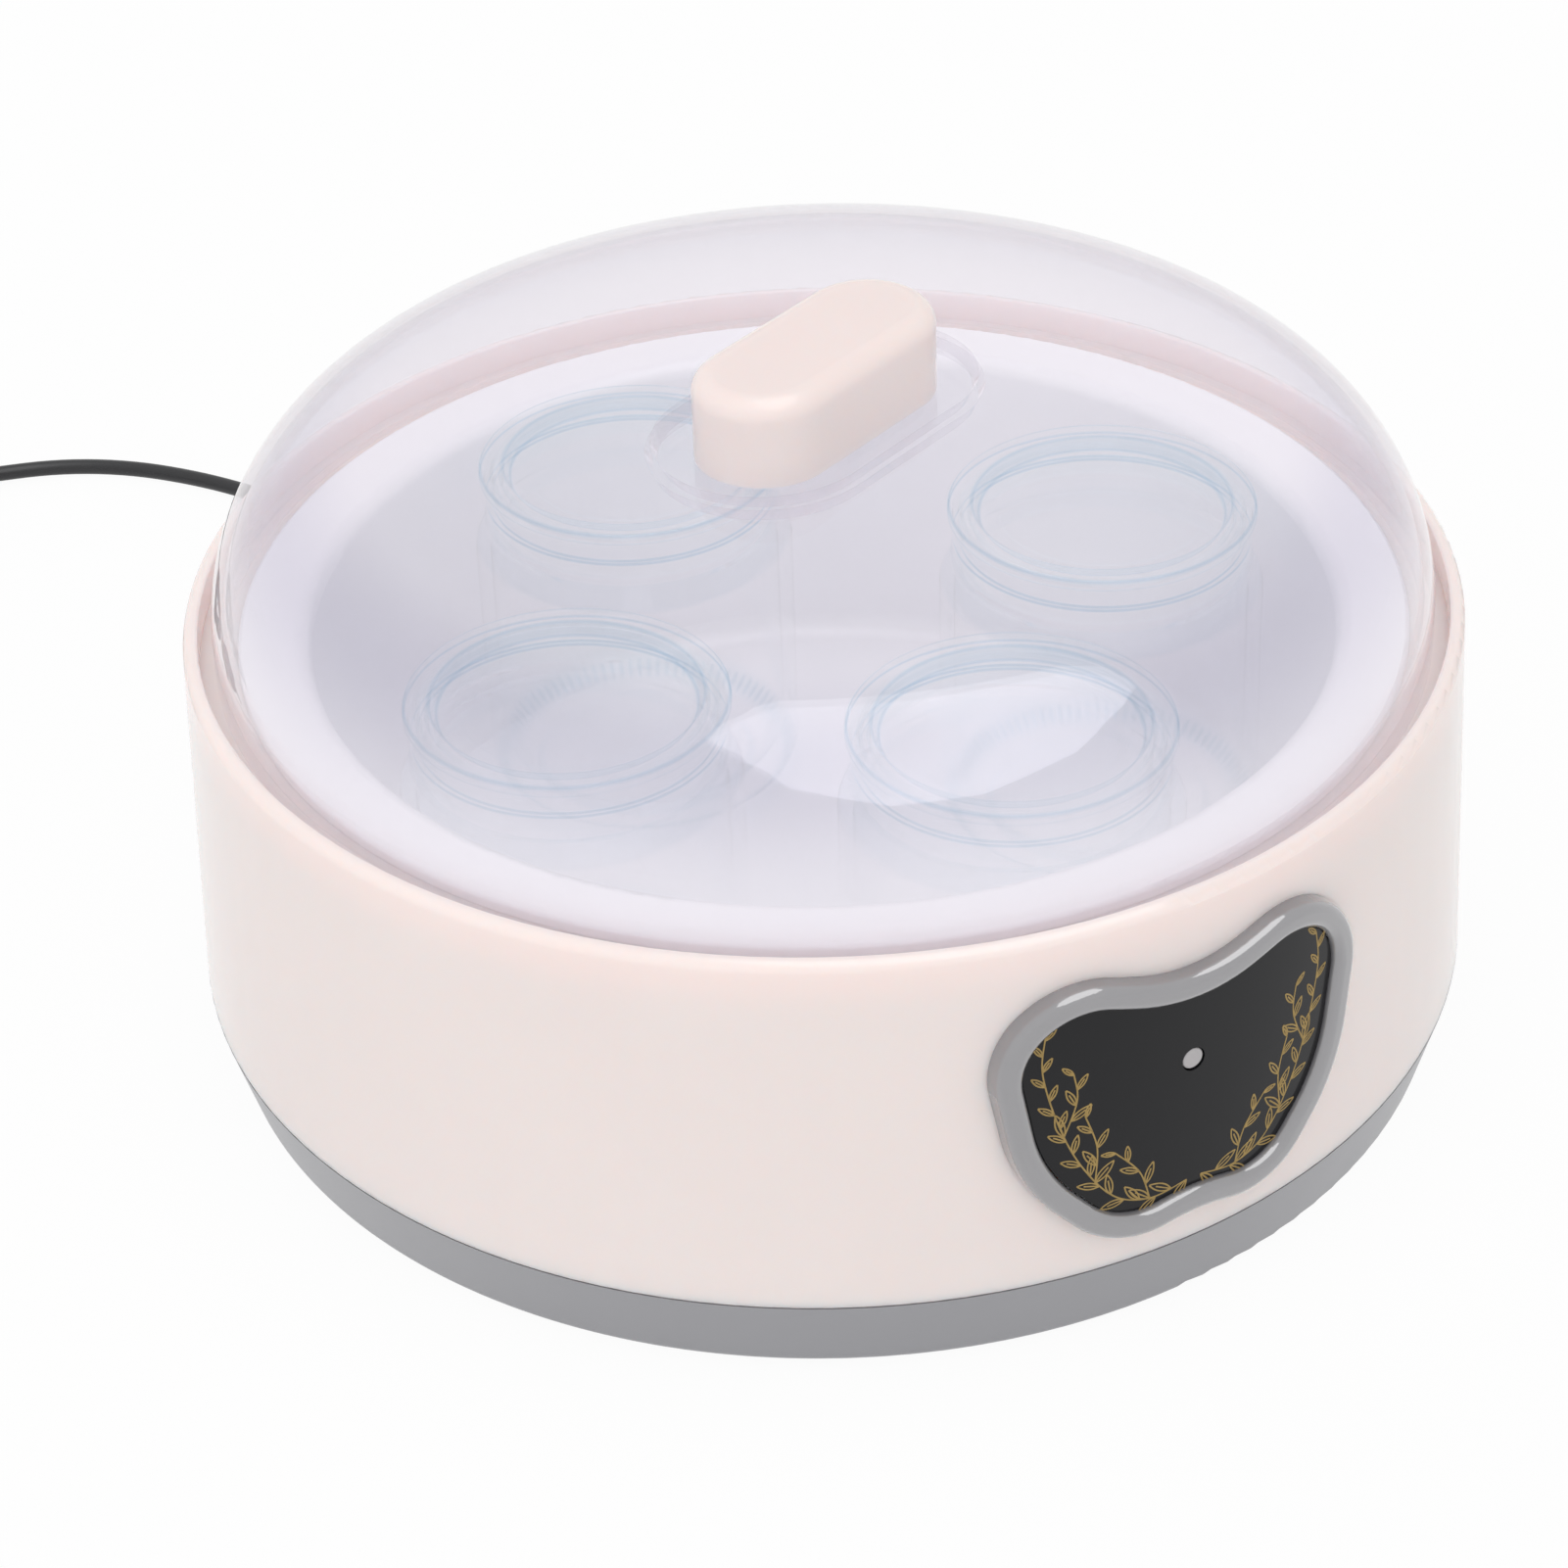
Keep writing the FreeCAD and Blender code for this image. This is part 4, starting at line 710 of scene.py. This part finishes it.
def gold_ink():
    """Printed ink with fine metal flakes."""
    material, tree, output = new_material("gold_ink")
    place = add(tree, "ShaderNodeTexCoord").outputs["Object"]
    flakes = add(tree, "ShaderNodeTexNoise", links={
        "Vector": place, "Scale": per_metre(FLAKE_MM), "Detail": 2})
    tint = add(tree, "ShaderNodeMix", {"data_type": "RGBA"}, {
        MIX_SHARE: flakes.outputs["Fac"], MIX_FIRST: linear("917845"), MIX_SECOND: linear("AF9459")})
    shader = add(tree, "ShaderNodeBsdfPrincipled", links={
        "Base Color": tint.outputs[MIX_RESULT], "Metallic": 0.4, "Roughness": 0.45})
    tree.links.new(shader.outputs["BSDF"], output.inputs["Surface"])
    return material


def bend_onto_plate(point):
    """Flat point in millimetres, with its height off the plate, as a point on the curved plate."""
    height = BADGE_MIDDLE + point.y
    radius = SEAM_RADIUS - CASING_SLOPE * (height - SEAM_HEIGHT) + PLATE_PROUD + INK_FLATNESS * point.z
    return Vector((point.x, -math.sqrt(radius ** 2 - point.x ** 2), height)) * MM


vertices = []
edges = []
for mirror in (1, -1):
    for stem in STEMS:
        first = len(vertices)
        vertices += [(mirror * x, y, 0) for x, y in stem]
        edges += [(i, i + 1) for i in range(first, len(vertices) - 1)]
badge_print = run_tree("badge_print", sprig_tree, vertices, edges, {
    "Leaf Step": LEAF_STEP, "Leaf Length": LEAF_LENGTH, "Leaf Angle": LEAF_ANGLE,
    "Line Radius": LINE_RADIUS, "Ink": gold_ink()})
for vertex in badge_print.data.vertices:
    vertex.co = bend_onto_plate(vertex.co)
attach(badge_print, "housing")
print("print faces", len(badge_print.data.polygons))

# %% [markdown]
# ## Ribs on the jars
# Pressed glass jars have a ring of short ribs around the heel, so that the hot glass doesn't stand
# on a smooth face when it leaves the mould. They catch the light as a fine dotted ring. A bump would
# hardly show on a clear wall, so one small flattened ball is set at each step of a circle and leans
# with the rounding of the heel.

# %% Rib tree
BALL_SEGMENTS = 8
BALL_RINGS = 6

rib_tree, given = new_tree("heel_ribs", {
    "Count": "Int", "Ring Radius": "Float", "Rib Size": "Vector", "Lean": "Float", "Glass": "Material"})
ring = add(rib_tree, "GeometryNodeMeshCircle", links={
    "Vertices": given["Count"], "Radius": given["Ring Radius"]})
ball = add(rib_tree, "GeometryNodeMeshUVSphere", links={
    "Segments": BALL_SEGMENTS, "Rings": BALL_RINGS, "Radius": 1})
outward = add(rib_tree, "FunctionNodeAlignRotationToVector", {"axis": "X", "pivot_axis": "Z"}, {
    "Vector": add(rib_tree, "GeometryNodeInputPosition").outputs["Position"]})
lean = add(rib_tree, "FunctionNodeAxisAngleToRotation", links={"Axis": (0, 1, 0), "Angle": given["Lean"]})
turn = add(rib_tree, "FunctionNodeRotateRotation", {"rotation_space": "LOCAL"}, {
    "Rotation": outward.outputs["Rotation"], "Rotate By": lean.outputs["Rotation"]})
balls = add(rib_tree, "GeometryNodeInstanceOnPoints", links={
    "Points": ring.outputs["Mesh"], "Instance": ball.outputs["Mesh"],
    "Rotation": turn.outputs["Rotation"], "Scale": given["Rib Size"]})
whole = add(rib_tree, "GeometryNodeRealizeInstances", links={"Geometry": balls.outputs["Instances"]})
glazed = add(rib_tree, "GeometryNodeSetMaterial", links={
    "Geometry": whole.outputs["Geometry"], "Material": given["Glass"]})
add(rib_tree, "NodeGroupOutput", links={"Geometry": glazed.outputs["Geometry"]})
print("rib tree nodes", len(rib_tree.nodes))

# %% Jar ribs
RIB_COUNT = 96
RIB_RING = 29.5
RIB_HEIGHT = 22.25
RIB_SIZE = (0.35, 0.55, 2.2)
RIB_LEAN = math.radians(45)

for i in JARS:
    low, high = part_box("jar_%d" % i)
    ribs = run_tree("jar_ribs_%d" % i, rib_tree, [(0, 0, 0)], [], {
        "Count": RIB_COUNT, "Ring Radius": RIB_RING * MM, "Rib Size": [length * MM for length in RIB_SIZE],
        "Lean": RIB_LEAN, "Glass": jar_glass})
    middle = (Vector(low) + Vector(high)) / 2
    ribs.data.transform(Matrix.Translation((middle.x, middle.y, RIB_HEIGHT * MM)))
    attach(ribs, "jar_%d_body" % i)
    print(ribs.name, "faces", len(ribs.data.polygons))

# %% [markdown]
# ## Studio
# The object stands on a white table in white surroundings. More light would make them white too,
# but it would bleach the object. So for rays from the camera, and for those that mirror or pass
# through something, table and surroundings are white by themselves. The table that shows through
# the clear pieces keeps more of its own shade, as paper in a studio does.

# %% Table
TABLE_HALF = 6.0
PAPER_WHITE = (0.8, 0.8, 0.8, 1)
PAPER_GLOW = 0.95
PAPER_GLOW_THROUGH = 0.35


def seen_rays(tree):
    """Socket that is 1 for rays from the camera and for those that mirror or pass through."""
    rays = add(tree, "ShaderNodeLightPath")
    shiny = add(tree, "ShaderNodeMath", {"operation": "MAXIMUM"}, {
        0: rays.outputs["Is Camera Ray"], 1: rays.outputs["Is Glossy Ray"]})
    either = add(tree, "ShaderNodeMath", {"operation": "MAXIMUM"}, {
        0: shiny.outputs["Value"], 1: rays.outputs["Is Transmission Ray"]})
    return either.outputs["Value"]


def flat_polygon(name, corners, material):
    """One face of the studio between these corners."""
    mesh = bpy.data.meshes.new(name)
    mesh.from_pydata(corners, [], [list(range(len(corners)))])
    mesh.materials.append(material)
    made = bpy.data.objects.new(name, mesh)
    bpy.context.scene.collection.objects.link(made)
    return made


paper, tree, output = new_material("white_table")
white = add(tree, "ShaderNodeBsdfDiffuse", links={"Color": PAPER_WHITE})
lit = add(tree, "ShaderNodeEmission", links={"Color": WHITE, "Strength": 1.0})
bright = add(tree, "ShaderNodeMapRange", links={
    "Value": add(tree, "ShaderNodeLightPath").outputs["Transparent Depth"],
    "To Min": PAPER_GLOW, "To Max": PAPER_GLOW_THROUGH})
share = add(tree, "ShaderNodeMath", {"operation": "MULTIPLY"}, {
    0: seen_rays(tree), 1: bright.outputs["Result"]})
mix = add(tree, "ShaderNodeMixShader", links={
    0: share.outputs["Value"], 1: white.outputs["BSDF"], 2: lit.outputs["Emission"]})
tree.links.new(mix.outputs["Shader"], output.inputs["Surface"])
far = TABLE_HALF
table = flat_polygon("table", [(-far, -far, 0), (far, -far, 0), (far, far, 0), (-far, far, 0)], paper)
print(table.name, "is", 2 * TABLE_HALF, "m wide")

# %% [markdown]
# One large eight-sided soft light hangs in front, and its reflection shows on the lid. A plain lamp
# would light the object as strongly as it shows in a mirror. A glowing cloth can look brighter in a
# mirror than it lights, so the object gets only a little light from it.

# %% Soft light
SOFTBOX_MIDDLE = Vector((0.19, -1.02, 2.5))
SOFTBOX_HALF_WIDTH = 1.2
SOFTBOX_HALF_DEPTH = 1.9
SOFTBOX_SIDES = 8
SOFTBOX_TURN = math.radians(-18)
SOFTBOX_LIGHT = 1.2
SOFTBOX_MIRRORED = 2.9

lamp_cloth, tree, output = new_material("softbox_cloth")
power = add(tree, "ShaderNodeMapRange", links={
    "Value": add(tree, "ShaderNodeLightPath").outputs["Is Glossy Ray"],
    "To Min": SOFTBOX_LIGHT, "To Max": SOFTBOX_MIRRORED})
glow = add(tree, "ShaderNodeEmission", links={"Color": WHITE, "Strength": power.outputs["Result"]})
tree.links.new(glow.outputs["Emission"], output.inputs["Surface"])
corners = []
for i in range(SOFTBOX_SIDES):
    angle = math.radians((i + 0.5) * 360 / SOFTBOX_SIDES)
    corner = Vector((math.cos(angle) * SOFTBOX_HALF_WIDTH, math.sin(angle) * SOFTBOX_HALF_DEPTH, 0))
    corners.append(SOFTBOX_MIDDLE + Matrix.Rotation(SOFTBOX_TURN, 3, "Z") @ corner)
softbox = flat_polygon("softbox", corners, lamp_cloth)
print(softbox.name, "corners", len(corners))

# %% [markdown]
# Most of the light comes from the surroundings, which are brighter on the camera's side. A picture
# of a room could give it, but a smooth slope of brightness keeps the reflections plain.

# %% Surroundings
SKY_STRENGTH = 0.81
SKY_FRONT = 0.82
SKY_FRONT_POWER = 3
SKY_BRIGHT_SIDE = (-0.58, -0.57, 0.58)

world = bpy.data.worlds.new("studio")
bpy.context.scene.world = world
world.use_nodes = True
tree = world.node_tree
tree.nodes.clear()
toward = add(tree, "ShaderNodeVectorMath", {"operation": "DOT_PRODUCT"}, {
    0: add(tree, "ShaderNodeTexCoord").outputs["Generated"], 1: SKY_BRIGHT_SIDE})
facing = add(tree, "ShaderNodeMath", {"operation": "MAXIMUM"}, {0: toward.outputs["Value"], 1: 0})
gathered = add(tree, "ShaderNodeMath", {"operation": "POWER"}, {
    0: facing.outputs["Value"], 1: SKY_FRONT_POWER})
sloped = add(tree, "ShaderNodeMath", {"operation": "MULTIPLY_ADD"}, {
    0: gathered.outputs["Value"], 1: SKY_FRONT, 2: SKY_STRENGTH})
strength = add(tree, "ShaderNodeMapRange", links={
    "Value": seen_rays(tree), "To Min": sloped.outputs["Value"], "To Max": 1.0})
sky = add(tree, "ShaderNodeBackground", links={"Color": WHITE, "Strength": strength.outputs["Result"]})
add(tree, "ShaderNodeOutputWorld", links={"Surface": sky.outputs["Background"]})
print("surroundings", world.name, "nodes", len(tree.nodes))
